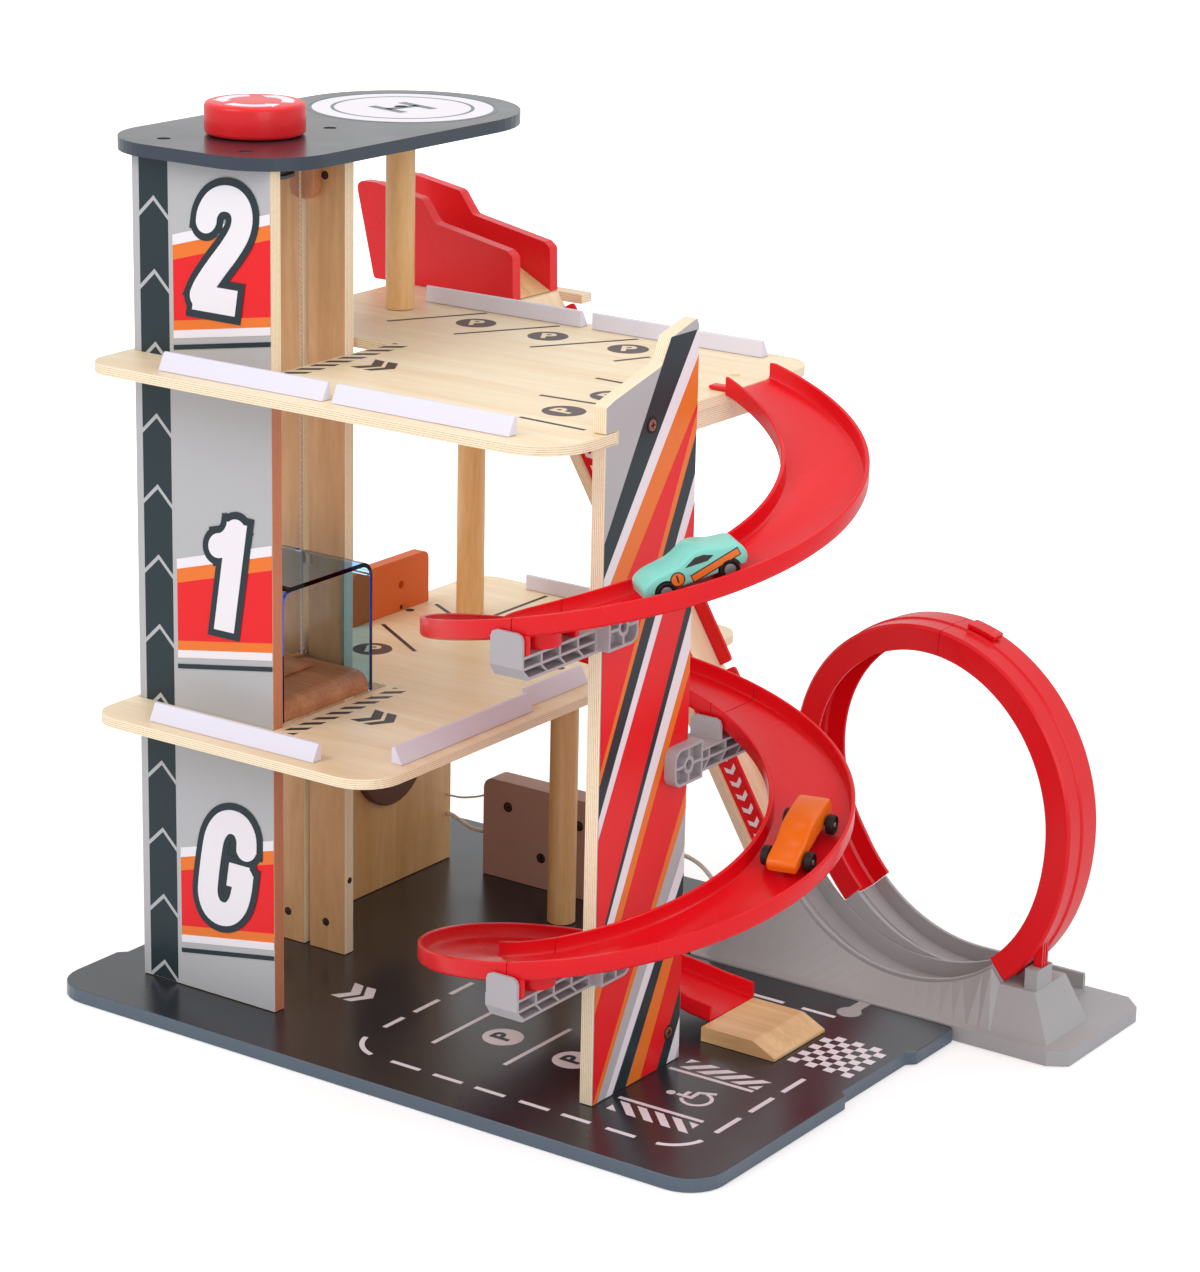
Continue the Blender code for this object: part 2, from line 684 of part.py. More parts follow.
def floor_2():
    """The upper floor: it passes the pillar in a slot, and a lobe at the back holds the launcher."""
    slot_end = PILLAR_FRONT_Y + PILLAR_SLOT_DEPTH - SEAT_GAP
    inner = PILLAR_INNER_X - SEAT_GAP
    outline = rounded([
        (FLOOR_LEFT, FLOOR_FRONT_Y, FLOOR_LEFT_CORNER),
        (PILLAR_FACE_X, FLOOR_FRONT_Y, FLOOR_2_CORNER),
        (PILLAR_FACE_X, slot_end, 0),
        (inner, slot_end, 0),
        (inner, PILLAR_BACK_Y + SEAT_GAP, 0),
        (FLOOR_2_RIGHT, UNDERPLATE_FRONT_Y, FLOOR_LEFT_CORNER / 4),
        (FLOOR_2_RIGHT, FLOOR_2_BACK_Y, FLOOR_2_BACK_CORNER),
        (LOBE_RIGHT, FLOOR_2_BACK_Y, 0),
        (LOBE_RIGHT, RAMP_FRONT_Y - SEAT_GAP, 0),
        (LOBE_NOTCH_X, RAMP_FRONT_Y - SEAT_GAP, 0),
        (LOBE_NOTCH_X, RAMP_BACK_Y + SEAT_GAP, 0),
        (LOBE_RIGHT, RAMP_BACK_Y + SEAT_GAP, 0),
        (LOBE_RIGHT, LOBE_BACK_Y, 0),
        (FLOOR_LEFT, LOBE_BACK_Y, FLOOR_LEFT_CORNER),
    ])
    sheet("floor_2", [outline, shaft_hole()], "XY", FLOOR_2_UNDER, FLOOR_THICKNESS, BIRCH)
    right = FLOOR_2_RIGHT - UNDERPLATE_INSET
    plate = rounded([
        (UNDERPLATE_LEFT, UNDERPLATE_FRONT_Y, FLOOR_LEFT_CORNER / 2),
        (right, UNDERPLATE_FRONT_Y, FLOOR_LEFT_CORNER / 4),
        (right, UNDERPLATE_BACK_Y, FLOOR_LEFT_CORNER / 2),
        (UNDERPLATE_LEFT, UNDERPLATE_BACK_Y, FLOOR_LEFT_CORNER / 2),
    ])
    low = FLOOR_2_UNDER - SEAT_GAP - UNDERPLATE_THICKNESS
    sheet("floor_2_underplate", [plate], "XY", low, UNDERPLATE_THICKNESS, BIRCH)


def roof():
    half = (ROOF_RIGHT - ROOF_LEFT) / 2
    back = ROOF_BACK_CENTRE_Y + half
    outline = rounded([
        (ROOF_LEFT, ROOF_FRONT_Y, ROOF_CORNER),
        (ROOF_RIGHT, ROOF_FRONT_Y, ROOF_CORNER),
        (ROOF_RIGHT, back, half * 0.999),
        (ROOF_LEFT, back, half * 0.999),
    ], steps=14)
    holes = [disc_outline((KNOB_X, KNOB_Y), SPINDLE_RADIUS + SEAT_GAP)]
    for x, y in ROOF_HOLES:
        holes.append(disc_outline((x * MM, y * MM), ROOF_HOLE_RADIUS, 10))
    sheet("roof", [outline, *holes], "XY", ROOF_UNDER, ROOF_THICKNESS, CHARCOAL)


def posts():
    spans = {
        "post_ground": (POST_GROUND, BOARD_THICKNESS, FLOOR_1_UNDER),
        "post_first": (POST_FIRST, FLOOR_1_TOP, FLOOR_2_UNDER),
        "post_second": (POST_SECOND, FLOOR_2_TOP, ROOF_UNDER),
    }
    for name, ((x, y), low, high) in spans.items():
        length = high - low - 2 * SEAT_GAP
        post = add_part(name, rod_mesh(name, DOWEL_RADIUS, length, 28), BEECH)
        post.location = (x, y, low + SEAT_GAP)
        smooth(post)


def pillar():
    """The printed front pillar, whose front edge has a slot for the second floor."""
    front = PILLAR_FRONT_Y
    inner = front + PILLAR_SLOT_DEPTH
    peak = FLOOR_2_TOP + PILLAR_PEAK_RISE
    front_top = FLOOR_2_TOP + PILLAR_FRONT_RISE
    gap = SEAT_GAP
    outline = [
        (front, ON_BOARD),
        (PILLAR_BACK_Y, ON_BOARD),
        (PILLAR_BACK_Y, peak - 4.6 * MM),
        (PILLAR_BACK_Y - 1.9 * MM, peak),
        (PILLAR_BACK_Y - 6.4 * MM, peak - 0.5 * MM),
        (PILLAR_BACK_Y - 28.9 * MM, peak - 6.8 * MM),
        (PILLAR_BACK_Y - 34.5 * MM, peak - 19.3 * MM),
        (PILLAR_BACK_Y - 40.4 * MM, peak - 22.3 * MM),
        (front + 8.2 * MM, front_top + 3.0 * MM),
        (front, front_top),
        (front, FLOOR_2_TOP + gap),
        (inner, FLOOR_2_TOP + gap),
        (inner, FLOOR_2_UNDER - gap),
        (front, FLOOR_2_UNDER - gap),
    ]
    outline = [Vector(point) for point in outline]
    sheet("pillar", [outline], "YZ", PILLAR_INNER_X, PANEL_THICKNESS, BIRCH)


def ground_panel():
    """The panel under the first floor, and the disc that turns on its face."""
    low = (SUPPORT_FACE_X - PANEL_THICKNESS, BACK_BOARDS_END + KEEPER_SPACE, ON_BOARD)
    high = (SUPPORT_FACE_X, SUPPORT_BACK_Y, FLOOR_1_UNDER - SEAT_GAP)
    panel = box("ground_panel", low, high, BIRCH)
    along_x = Matrix.Rotation(math.pi / 2, 4, "Y")
    gap = SEAT_GAP
    hole = rod_mesh("disc_pin_hole", DISC_PIN_RADIUS + gap, 3 * PANEL_THICKNESS, 16)
    cut = add_cutter("disc_pin_hole", hole)
    cut.matrix_world = Matrix.Translation((low[0] - PANEL_THICKNESS, DISC_Y, DISC_Z)) @ along_x
    boolean(panel, cut, "DIFFERENCE")
    rounding = 1.0 * MM
    profile = [
        (0.0, DISC_THICKNESS),
        (DISC_RADIUS - rounding, DISC_THICKNESS),
        (DISC_RADIUS, DISC_THICKNESS - rounding),
        (DISC_RADIUS, 0.0),
        (DISC_PIN_RADIUS, 0.0),
        (DISC_PIN_RADIUS, -PANEL_THICKNESS),
        (0.0, -PANEL_THICKNESS),
    ]
    place = Matrix.Translation((SUPPORT_FACE_X + gap, DISC_Y, DISC_Z)) @ along_x
    turned("wall_disc", profile, place, BROWN_PAINT)


def kerb(name, along, span, inner, outward, level):
    """A bar with an upright inner face and a sloping outer one, standing on a floor."""
    low = level + SEAT_GAP
    top = low + KERB_HEIGHT
    outline = rounded([
        (inner, low, 0),
        (inner + outward * KERB_DEPTH, low, 0),
        (inner + outward * KERB_TOP, top, KERB_ROUND),
        (inner, top, KERB_ROUND),
    ], steps=3)
    plane = "YZ" if along == "X" else "XZ"
    sheet(name, [outline], plane, span[0], span[1] - span[0], WHITE_PAINT)


def kerbs():
    first = FLOOR_1_TOP
    second = FLOOR_2_TOP
    rear = FLOOR_2_REAR_KERB_Y
    kerb("kerb_1_front", "X", KERB_1_FRONT, FRONT_KERB_Y, -1, first)
    kerb("kerb_1_side_front", "Y", KERB_1_SIDE_FRONT, FLOOR_1_SIDE_KERB_X, 1, first)
    kerb("kerb_1_side_back", "Y", KERB_1_SIDE_BACK, FLOOR_1_BACK_KERB_X, 1, first)
    kerb("kerb_1_rear", "X", KERB_1_REAR, FLOOR_1_REAR_KERB_Y, 1, first)
    kerb("kerb_2_front_left", "X", KERB_2_FRONT_LEFT, FRONT_KERB_Y, -1, second)
    kerb("kerb_2_front_right", "X", KERB_2_FRONT_RIGHT, FRONT_KERB_Y, -1, second)
    kerb("kerb_2_rear_left", "X", KERB_2_REAR_LEFT, rear, 1, second)
    kerb("kerb_2_rear_right", "X", KERB_2_REAR_RIGHT, rear, 1, second)


def service_panel():
    low = FLOOR_1_TOP + SEAT_GAP
    front, back = SERVICE_Y
    outline = rounded([
        (front, low, 0),
        (back, low, 0),
        (back, low + SERVICE_HEIGHT, 6.0 * MM),
        (front, low + SERVICE_HEIGHT, 6.0 * MM),
    ])
    hole = disc_outline((SERVICE_HOLE_Y, low + SERVICE_HEIGHT / 2), 3.0 * MM, 12)
    left = SERVICE_X - PANEL_THICKNESS / 2
    sheet("service_panel", [outline, hole], "YZ", left, PANEL_THICKNESS, ORANGE_PAINT)


def launcher():
    """Two red walls with a level lane between them, which ends in a slope down to the ramp."""
    low = FLOOR_2_TOP + SEAT_GAP
    left = LAUNCH_LEFT_X
    right = LAUNCH_END_X
    top = low + LAUNCH_HEIGHT
    outline = rounded([
        (left + 15.7 * MM, low, 3.0 * MM),
        (right, low, 0),
        (right - 0.8 * MM, top - 35.7 * MM, 4.0 * MM),
        (right - 5.7 * MM, top - 32.3 * MM, 2.0 * MM),
        (left + 66.7 * MM, top - 21.3 * MM, 6.0 * MM),
        (left + 55.7 * MM, top - 6.4 * MM, 6.0 * MM),
        (left + 17.7 * MM, top, 3.0 * MM),
        (left, top, 5.0 * MM),
    ], steps=4)
    front = LAUNCH_LANE_FRONT_Y - LAUNCH_WALL
    sheet("launcher_wall_front", [outline], "XZ", front, LAUNCH_WALL, RED_PAINT)
    sheet("launcher_wall_back", [outline], "XZ", LAUNCH_LANE_BACK_Y, LAUNCH_WALL, RED_PAINT)
    high = low + LAUNCH_DECK_THICKNESS
    lip = 0.8 * MM
    deck = [
        (left + 16.0 * MM, low),
        (right, low),
        (right, low + lip),
        (right - LAUNCH_SLOPE_LENGTH, high),
        (left + 13.0 * MM, high),
    ]
    deck = [Vector(point) for point in deck]
    width = LAUNCH_LANE_WIDTH - 2 * SEAT_GAP
    start = LAUNCH_LANE_FRONT_Y + SEAT_GAP
    sheet("launcher_deck", [deck], "XZ", start, width, BEECH)


def loop_point(angle, inward, fraction):
    """A point of the loop: angle in degrees from +X, inward from the running surface."""
    turn = math.radians(angle)
    centre = LOOP_FRONT_X + (LOOP_BACK_X - LOOP_FRONT_X) * fraction
    x = centre + (LOOP_RADIUS_X - inward) * math.cos(turn) + LOOP_LEAN * math.sin(turn)
    if math.sin(turn) < 0 < math.cos(turn):
        x += LOOP_FLARE * math.sin(turn)**2 * math.cos(turn)
    z = LOOP_Z + (LOOP_RADIUS_Z - inward) * math.sin(turn)
    return x, z


def lane_fraction(angle):
    """How far the lane has moved from the front to the back at an angle of the loop."""
    span = SHIFT_END_ANGLE - RIGHT_JOINT_ANGLE
    return min(max((angle - RIGHT_JOINT_ANGLE) / span, 0.0), 1.0)


def ramp_length():
    """Length of the ramp's upper face, from the second floor to the loop base's front lane."""
    x, z = loop_point(LANE_START_ANGLE, 0.0, 0.0)
    return (Vector((x, 0.0, z)) - RAMP_TOP).dot(RAMP_DOWN)


def ramp_strip(start, end, low, high):
    """Outline in X and Z of a strip along the ramp, between two heights over its upper face."""
    corners = ((start, low), (end, low), (end, high), (start, high))
    places = [RAMP_TOP + RAMP_DOWN * along + RAMP_NORMAL * up for along, up in corners]
    return [Vector((place.x, place.z)) for place in places]


def ramp():
    """The steep plywood deck and its red rails."""
    end = ramp_length() - SEAT_GAP
    outline = ramp_strip(0.0, end, -RAMP_THICKNESS, 0.0)
    drop = RAMP_THICKNESS / math.cos(RAMP_SLOPE)
    outline[0] = Vector((RAMP_TOP_X, FLOOR_2_TOP - drop))
    sheet("ramp_deck", [outline], "XZ", RAMP_FRONT_Y, RAMP_WIDTH, BIRCH)
    gap = SEAT_GAP
    near_y = RAMP_FRONT_Y + NEAR_RAIL_INSET
    far_y = RAMP_BACK_Y - FAR_RAIL_INSET - RAMP_RAIL_THICKNESS
    split = FAR_RAIL_SPLIT
    rails = {
        "ramp_rail_near": (near_y, RAIL_START, end, NEAR_RAIL_HEIGHT),
        "ramp_rail_far_upper": (far_y, RAIL_START, split, FAR_RAIL_HEIGHT),
        "ramp_rail_far_lower": (far_y, split + FAR_RAIL_GAP, end, FAR_RAIL_HEIGHT),
    }
    for name, (y, start, stop, height) in rails.items():
        strip = ramp_strip(start, stop, gap, gap + height)
        strip = rounded([(p.x, p.y, 2.5 * MM if i > 1 else 0) for i, p in enumerate(strip)], 3)
        sheet(name, [strip], "XZ", y, RAMP_RAIL_THICKNESS, RED_PLASTIC)


def track_top(angle):
    """Height of the track's wall top at an angle of the spiral, in degrees; the last half turn
    flattens out towards the board."""
    ease = max(angle - 540.0, 0.0) / (TRACK_END_ANGLE - 540.0)
    return TRACK_START_TOP - TRACK_PITCH * angle / 360.0 + TRACK_END_EASE * ease**2


def track_profile():
    """The channel's section as (outward from the centre line, up from the wall top)."""
    half = TRACK_HALF_WIDTH
    inner = half - SKIN
    low = -TRACK_DEPTH - SKIN
    cut = TRACK_CHAMFER
    right = [
        (half - cut, low),
        (half, low + cut),
        (half, 0.0),
        (inner, 0.0),
        (inner, -TRACK_DEPTH + cut),
        (inner - cut, -TRACK_DEPTH),
    ]
    left = [(-x, z) for x, z in reversed(right)]
    return right + left


def move_face(bm, face, x, drop):
    """Carry an end face of a channel on to the plane at x."""
    made = bmesh.ops.extrude_face_region(bm, geom=[face])["geom"]
    for vert in made:
        if isinstance(vert, bmesh.types.BMVert):
            vert.co.x = x
            vert.co.z -= drop
    if face.is_valid:
        bm.faces.remove(face)


def track_segment(name, start, end, start_x=None, end_x=None):
    """A length of the spiral channel between two angles, clockwise from above."""
    bm = bmesh.new()
    verts = []
    for out, up in track_profile():
        verts.append(bm.verts.new((0.0, TRACK_RADIUS + out, track_top(start) + up)))
    face = bm.faces.new(verts)
    centre = (TRACK_X, TRACK_Y, 0.0)
    bmesh.ops.translate(bm, vec=centre, verts=bm.verts)
    turn = Matrix.Rotation(-math.radians(start), 3, "Z")
    bmesh.ops.rotate(bm, cent=centre, matrix=turn, verts=bm.verts)
    span = math.radians(end - start)
    step_drop = (track_top(start) - track_top(end)) / TRACK_STEPS
    swept = bmesh.ops.spin(
        bm,
        geom=[*bm.verts, *bm.edges, face],
        cent=centre,
        axis=(0.0, 0.0, -1.0),
        dvec=(0.0, 0.0, -step_drop),
        angle=span,
        steps=TRACK_STEPS,
        use_duplicate=False,
    )
    last = next(item for item in swept["geom_last"] if isinstance(item, bmesh.types.BMFace))
    if end_x is not None:
        move_face(bm, last, end_x, 2.0 * MM)
    if start_x is not None:
        move_face(bm, face, start_x, 0.0)
    return add_part(name, mesh_from(name, bm), RED_PLASTIC)


def foot_post(name, outline, angle, radius):
    """A post from a bracket's arm up into the sloping underside of the segment over it."""
    low = track_top(angle) - ARM_DROP + SEAT_GAP
    high = track_top(angle) - TRACK_DEPTH - MM
    post = as_mesh(sheet(name, [outline], "XY", low, high - low, None))
    rise = TRACK_PITCH / (math.tau * radius)
    for vert in post.data.vertices:
        place = post.matrix_world @ vert.co
        if place.z > (low + high) / 2:
            vert.co.z += abs(place.x - TRACK_X) * rise
    return post


def track_foot(name, angle):
    """Two end walls and a half round post under a segment's lower end, on its bracket's arm."""
    side = math.cos(math.radians(angle))
    end = TRACK_X - side * 1.0 * MM
    xs = sorted((end, end - side * FOOT_LENGTH))
    posts = []
    inner = TRACK_RADIUS - TRACK_HALF_WIDTH + 0.4 * MM
    outer = TRACK_RADIUS + TRACK_HALF_WIDTH - 0.4 * MM - FOOT_WALL
    for label, start in (("inner", inner), ("outer", outer)):
        ys = sorted(TRACK_Y + side * value for value in (start, start + FOOT_WALL))
        corners = ((xs[0], ys[0]), (xs[1], ys[0]), (xs[1], ys[1]), (xs[0], ys[1]))
        wall = [Vector(corner) for corner in corners]
        posts.append(foot_post(f"{name}_{label}", wall, angle, start + FOOT_WALL / 2))
    middle = Vector((end, TRACK_Y + side * TRACK_RADIUS))
    steps = 14
    turns = [math.pi * (step / steps - 0.5) for step in range(steps + 1)]
    half_round = [
        middle + FOOT_RADIUS * Vector((-side * math.cos(turn), math.sin(turn))) for turn in turns
    ]
    posts.append(foot_post(f"{name}_post", half_round, angle, TRACK_RADIUS))
    return posts


def spiral():
    """Four channel segments; three of them end over a bracket, the last one on the board."""
    gap = TRACK_JOINT_GAP
    upper = track_segment(
        "track_segment_1", TRACK_START_ANGLE, 180.0 - gap, start_x=FLOOR_2_RIGHT + SEAT_GAP
    )
    second = track_segment("track_segment_2", 180.0, 360.0 - gap)
    third = track_segment("track_segment_3", 360.0, 540.0 - gap)
    lower = track_segment("track_segment_4", 540.0, TRACK_END_ANGLE, end_x=TRACK_END_X)
    inner_y = TRACK_Y + TRACK_RADIUS - TRACK_HALF_WIDTH
    tab_low = (FLOOR_2_RIGHT - TAB_LENGTH, inner_y, FLOOR_2_TOP + SEAT_GAP)
    tab_high = (FLOOR_2_RIGHT + 4.0 * MM, inner_y + TAB_WIDTH, FLOOR_2_TOP + SEAT_GAP + SKIN)
    tab = add_part("track_tab", box_mesh("track_tab", tab_low, tab_high), None)
    root_low = (FLOOR_2_RIGHT + 1.0 * MM, inner_y + 0.5 * MM, FLOOR_2_TOP - 3.0 * MM)
    root_high = (FLOOR_2_RIGHT + 3.5 * MM, inner_y + TAB_WIDTH - 0.5 * MM, tab_high[2] - 0.5 * MM)
    root = add_part("track_tab_root", box_mesh("track_tab_root", root_low, root_high), None)
    joined(upper, [*track_foot("foot_1", 180.0), tab, root])
    joined(second, track_foot("foot_2", 360.0))
    joined(third, track_foot("foot_3", 540.0))
    for segment in (upper, second, third, lower):
        smooth(segment)


def prism(name, points, start, depth):
    """A cutter from a (Y, Z) outline, along +X from start."""
    cut = sheet(name, [[Vector(point) for point in points]], "YZ", start, depth, None)
    cut = as_mesh(cut)
    PARTS.objects.unlink(cut)
    CUTTERS.objects.link(cut)
    cut.hide_render = True
    cut.display_type = "WIRE"
    return cut


def boss_pockets(name, centre, side, start):
    """Cutters that leave a boss with its rim, a cross of ribs and a ring for the screw."""
    rib = BRACKET_RIB / 2
    wide = BOSS_WIDTH / 2 - BRACKET_RIB
    tall = BOSS_HEIGHT / 2 - BRACKET_RIB
    depth = BOSS_THICKNESS
    y, z = centre
    first = math.asin(rib / BOSS_RING)
    steps = 4
    cuts = []
    for across in (-1, 1):
        for up in (-1, 1):
            arc = []
            for step in range(steps + 1):
                turn = first + (math.pi / 2 - 2 * first) * step / steps
                arc.append((BOSS_RING * math.cos(turn), BOSS_RING * math.sin(turn), 0))
            corner = BOSS_CORNER - BRACKET_RIB if across == -side else 0
            corners = [*arc, (rib, tall, 0), (wide, tall, corner), (wide, rib, 0)]
            corners = [(y + across * a, z + up * b, radius) for a, b, radius in corners]
            label = f"{name}_pocket_{across}_{up}"
            cuts.append(prism(label, rounded(corners, steps=3), start, depth))
    hole = disc_outline(centre, BOSS_HOLE, 16)
    cuts.append(prism(f"{name}_hole", hole, start, depth))
    return cuts


def bracket(name, angle):
    """A ribbed arm under a track joint, with a boss screwed to the pillar's face."""
    side = 1.0 if math.cos(math.radians(angle)) > 0 else -1.0
    edge = PILLAR_BACK_Y if side > 0 else PILLAR_FRONT_Y
    top = track_top(angle) - ARM_DROP
    low = top - ARM_HEIGHT
    face = PILLAR_FACE_X + SEAT_GAP
    outer = face + BOSS_THICKNESS
    root = edge + side * SEAT_GAP
    if side < 0:
        end = TRACK_Y - TRACK_RADIUS - TRACK_HALF_WIDTH - SEAT_GAP - CLIP_THICKNESS
        clip_y = end
    else:
        end = TRACK_Y + TRACK_RADIUS + TRACK_HALF_WIDTH - 12.0 * MM
        clip_y = TRACK_Y + TRACK_RADIUS - TRACK_HALF_WIDTH - 1.5 * MM - CLIP_THICKNESS
    left = face - ARM_WIDTH

    def block(label, x_span, y_span, z_span):
        xs, ys, zs = sorted(x_span), sorted(y_span), sorted(z_span)
        label = f"{name}_{label}"
        mesh = box_mesh(label, (xs[0], ys[0], zs[0]), (xs[1], ys[1], zs[1]))
        return add_part(label, mesh, None)

    middle = low + ARM_HEIGHT * 0.5
    profile = [
        (root, low),
        (end - side * BRACKET_LEAN, low),
        (end, middle),
        (end, top),
        (root, top),
    ]
    profile = [Vector(point) for point in profile]
    arm = as_mesh(sheet(name, [profile], "YZ", left, ARM_WIDTH, None))
    finish_of(arm, GREY_PLASTIC)
    overhang = edge + side * BOSS_OVERHANG
    boss_end = overhang - side * BOSS_WIDTH
    boss_low = low + 1.5 * MM
    boss_top = boss_low + BOSS_HEIGHT
    boss_outline = rounded([
        (overhang, boss_low, 0),
        (boss_end, boss_low, BOSS_CORNER),
        (boss_end, boss_top, BOSS_CORNER),
        (overhang, boss_top, 0),
    ], steps=5)
    boss = as_mesh(sheet(f"{name}_boss", [boss_outline], "YZ", face, BOSS_THICKNESS, None))
    link_x = (face - 6.0 * MM, outer - 1.0 * MM)
    link = block("link", link_x, (root, overhang - side * 0.5 * MM), (low + 2.5 * MM, top - MM))
    clip_x = (left + 0.5 * MM, face - 0.5 * MM)
    clip_z = (top - 2.0 * MM, top + CLIP_HEIGHT)
    clip = add_part(f"{name}_clip", box_mesh(
        f"{name}_clip",
        (clip_x[0], clip_y, clip_z[0]),
        (clip_x[1], clip_y + CLIP_THICKNESS, clip_z[1]),
        4.0 * MM,
        lambda edge: all(v.co.z > top for v in edge.verts)
        and abs(edge.verts[0].co.y - edge.verts[1].co.y) > MM,
    ), None)
    joined(arm, [boss, link, clip])
    centre = ((overhang + boss_end) / 2, (boss_low + boss_top) / 2)
    for cut in boss_pockets(name, centre, side, face + BOSS_PLATE):
        boolean(arm, cut, "DIFFERENCE")
    rib = BRACKET_RIB
    count = 4
    length = abs(end - root) - BOSS_OVERHANG
    pitch = (length - rib) / count
    depth = ARM_WIDTH - BRACKET_WEB
    for index in range(count):
        a = end - side * (rib + pitch * index)
        b = a - side * (pitch - rib)
        lean = side * BRACKET_LEAN
        bottom = [(a - lean, low + rib), (b - lean, low + rib), (b, middle - rib / 2),
                  (a, middle - rib / 2)]
        if index == count - 1:
            bottom[1] = (b, low + rib)
        upper = [(a, middle + rib / 2), (b, middle + rib / 2), (b, top - rib), (a, top - rib)]
        for label, points in (("low", bottom), ("top", upper)):
            cut = prism(f"{name}_{label}_{index}", points, face - depth, depth + OVERLAP)
            boolean(arm, cut, "DIFFERENCE")
    return arm


def finish_block():
    low = ON_BOARD
    high = low + FINISH_HEIGHT
    outline = rounded([
        (FINISH_START_X, low, 0),
        (FINISH_END_X, low, 0),
        (FINISH_END_X, low + 2.0 * MM, 0.8 * MM),
        (FINISH_END_X - FINISH_SLOPE, high, 8.0 * MM),
        (FINISH_START_X, high, MM),
    ], steps=3)
    inner = TRACK_Y + TRACK_RADIUS - TRACK_HALF_WIDTH
    start = inner - 11.0 * MM
    width = 2 * TRACK_HALF_WIDTH + 8.0 * MM
    sheet("finish_block", [outline], "XZ", start, width, BEECH)


def lane_profile(wall):
    """The lane's section as (inward from the running surface, across)."""
    half = LOOP_HALF_WIDTH
    groove = GROOVE_HALF
    inner = half - SKIN
    right = [
        (-SKIN, groove + GROOVE_DEPTH),
        (-SKIN, half),
        (wall, half),
        (wall, inner),
        (0.0, inner),
        (0.0, groove),
        (-GROOVE_DEPTH, groove - GROOVE_DEPTH / 2),
    ]
    left = [(inward, -across) for inward, across in reversed(right)]
    ridge = [(-SKIN - GROOVE_DEPTH, -groove), (-SKIN - GROOVE_DEPTH, groove)]
    return right + left + ridge


def lane(name, start, end, wall, fraction_at, centre_y_at, steps, exit_x=None):
    """A channel along the loop's curve between two angles."""
    bm = bmesh.new()
    verts = []
    for inward, across in lane_profile(wall):
        verts.append(bm.verts.new((1.0 - inward, across, 0.0)))
    face = bm.faces.new(verts)
    swept = bmesh.ops.spin(
        bm,
        geom=[*bm.verts, *bm.edges, face],
        cent=(0.0, 0.0, 0.0),
        axis=(0.0, -1.0, 0.0),
        angle=math.radians(end - start),
        steps=steps,
        use_duplicate=False,
    )
    last = next(item for item in swept["geom_last"] if isinstance(item, bmesh.types.BMFace))
    for vert in bm.verts:
        angle = start + math.degrees(math.atan2(vert.co.z, vert.co.x)) % 360.0
        if angle > end + 1.0:
            angle -= 360.0
        inward = 1.0 - math.hypot(vert.co.x, vert.co.z)
        x, z = loop_point(angle, inward, fraction_at(angle))
        vert.co = (x, vert.co.y + centre_y_at(angle), z)
    if exit_x is not None:
        move_face(bm, last, exit_x, 0.0)
    return add_part(name, mesh_from(name, bm), RED_PLASTIC)


def lane_y(angle):
    return LOOP_FRONT_Y + (LOOP_BACK_Y - LOOP_FRONT_Y) * lane_fraction(angle)


def loop_halves():
    gap = LOOP_JOINT_GAP
    start = RIGHT_JOINT_ANGLE + gap
    top = TOP_JOINT_ANGLE
    end = LEFT_JOINT_ANGLE - gap
    right = lane("loop_right", start, top - gap, LOOP_WALL, lane_fraction, lane_y, LOOP_STEPS)
    left = lane("loop_left", top, end, LOOP_WALL, lane_fraction, lane_y, LOOP_STEPS)
    low, high = PEG_LOW_ANGLE, PEG_HIGH_ANGLE
    steps = 3
    edge = []
    for step in range(steps + 1):
        angle = low + (high - low) * step / steps
        edge.append(Vector(loop_point(angle, -SKIN + OVERLAP, lane_fraction(angle))))
    outline = [Vector((edge[0].x, PEG_BOTTOM)), Vector((edge[-1].x, PEG_BOTTOM)), *reversed(edge)]
    middle = lane_y((low + high) / 2) - LOOP_HALF_WIDTH / 2
    peg = sheet("loop_peg", [outline], "XZ", middle - PEG_THICKNESS / 2, PEG_THICKNESS, None)
    peg = as_mesh(peg)
    joined(right, [peg])
    smooth(right)
    smooth(left)
    loop_clip()


def loop_clip():
    """The raised catch over the joint at the top of the loop."""
    inner, outer = -SKIN - GROOVE_DEPTH - SEAT_GAP, -SKIN - GROOVE_DEPTH - SEAT_GAP - CLIP_RISE
    steps = 4
    angles = [CLIP_START_ANGLE + (CLIP_END_ANGLE - CLIP_START_ANGLE) * s / steps
              for s in range(steps + 1)]
    under = [Vector(loop_point(a, inner, lane_fraction(a))) for a in angles]
    over = [Vector(loop_point(a, outer, lane_fraction(a))) for a in reversed(angles)]
    middle = lane_y((CLIP_START_ANGLE + CLIP_END_ANGLE) / 2)
    sheet("loop_clip", [under + over], "XZ", middle, CLIP_WIDTH, RED_PLASTIC)


def skirt_outline(start, end, fraction, foot_left, foot_right):
    """A side wall of the loop's base, up to just under the lane's lip."""
    steps = 18
    drop = 3.0 * MM
    edge = []
    for step in range(steps + 1):
        angle = start + (end - start) * step / steps
        edge.append(Vector(loop_point(angle, LANE_WALL - drop, fraction)))
    inside = BASE_FOOT / 2
    low_left = [Vector(loop_point(start, 0.0, fraction)), Vector((foot_left, BASE_FOOT + 4.0 * MM))]
    foot = [Vector((foot_left, inside)), Vector((foot_right, inside))]
    return [*edge[::-1], *low_left, *foot]


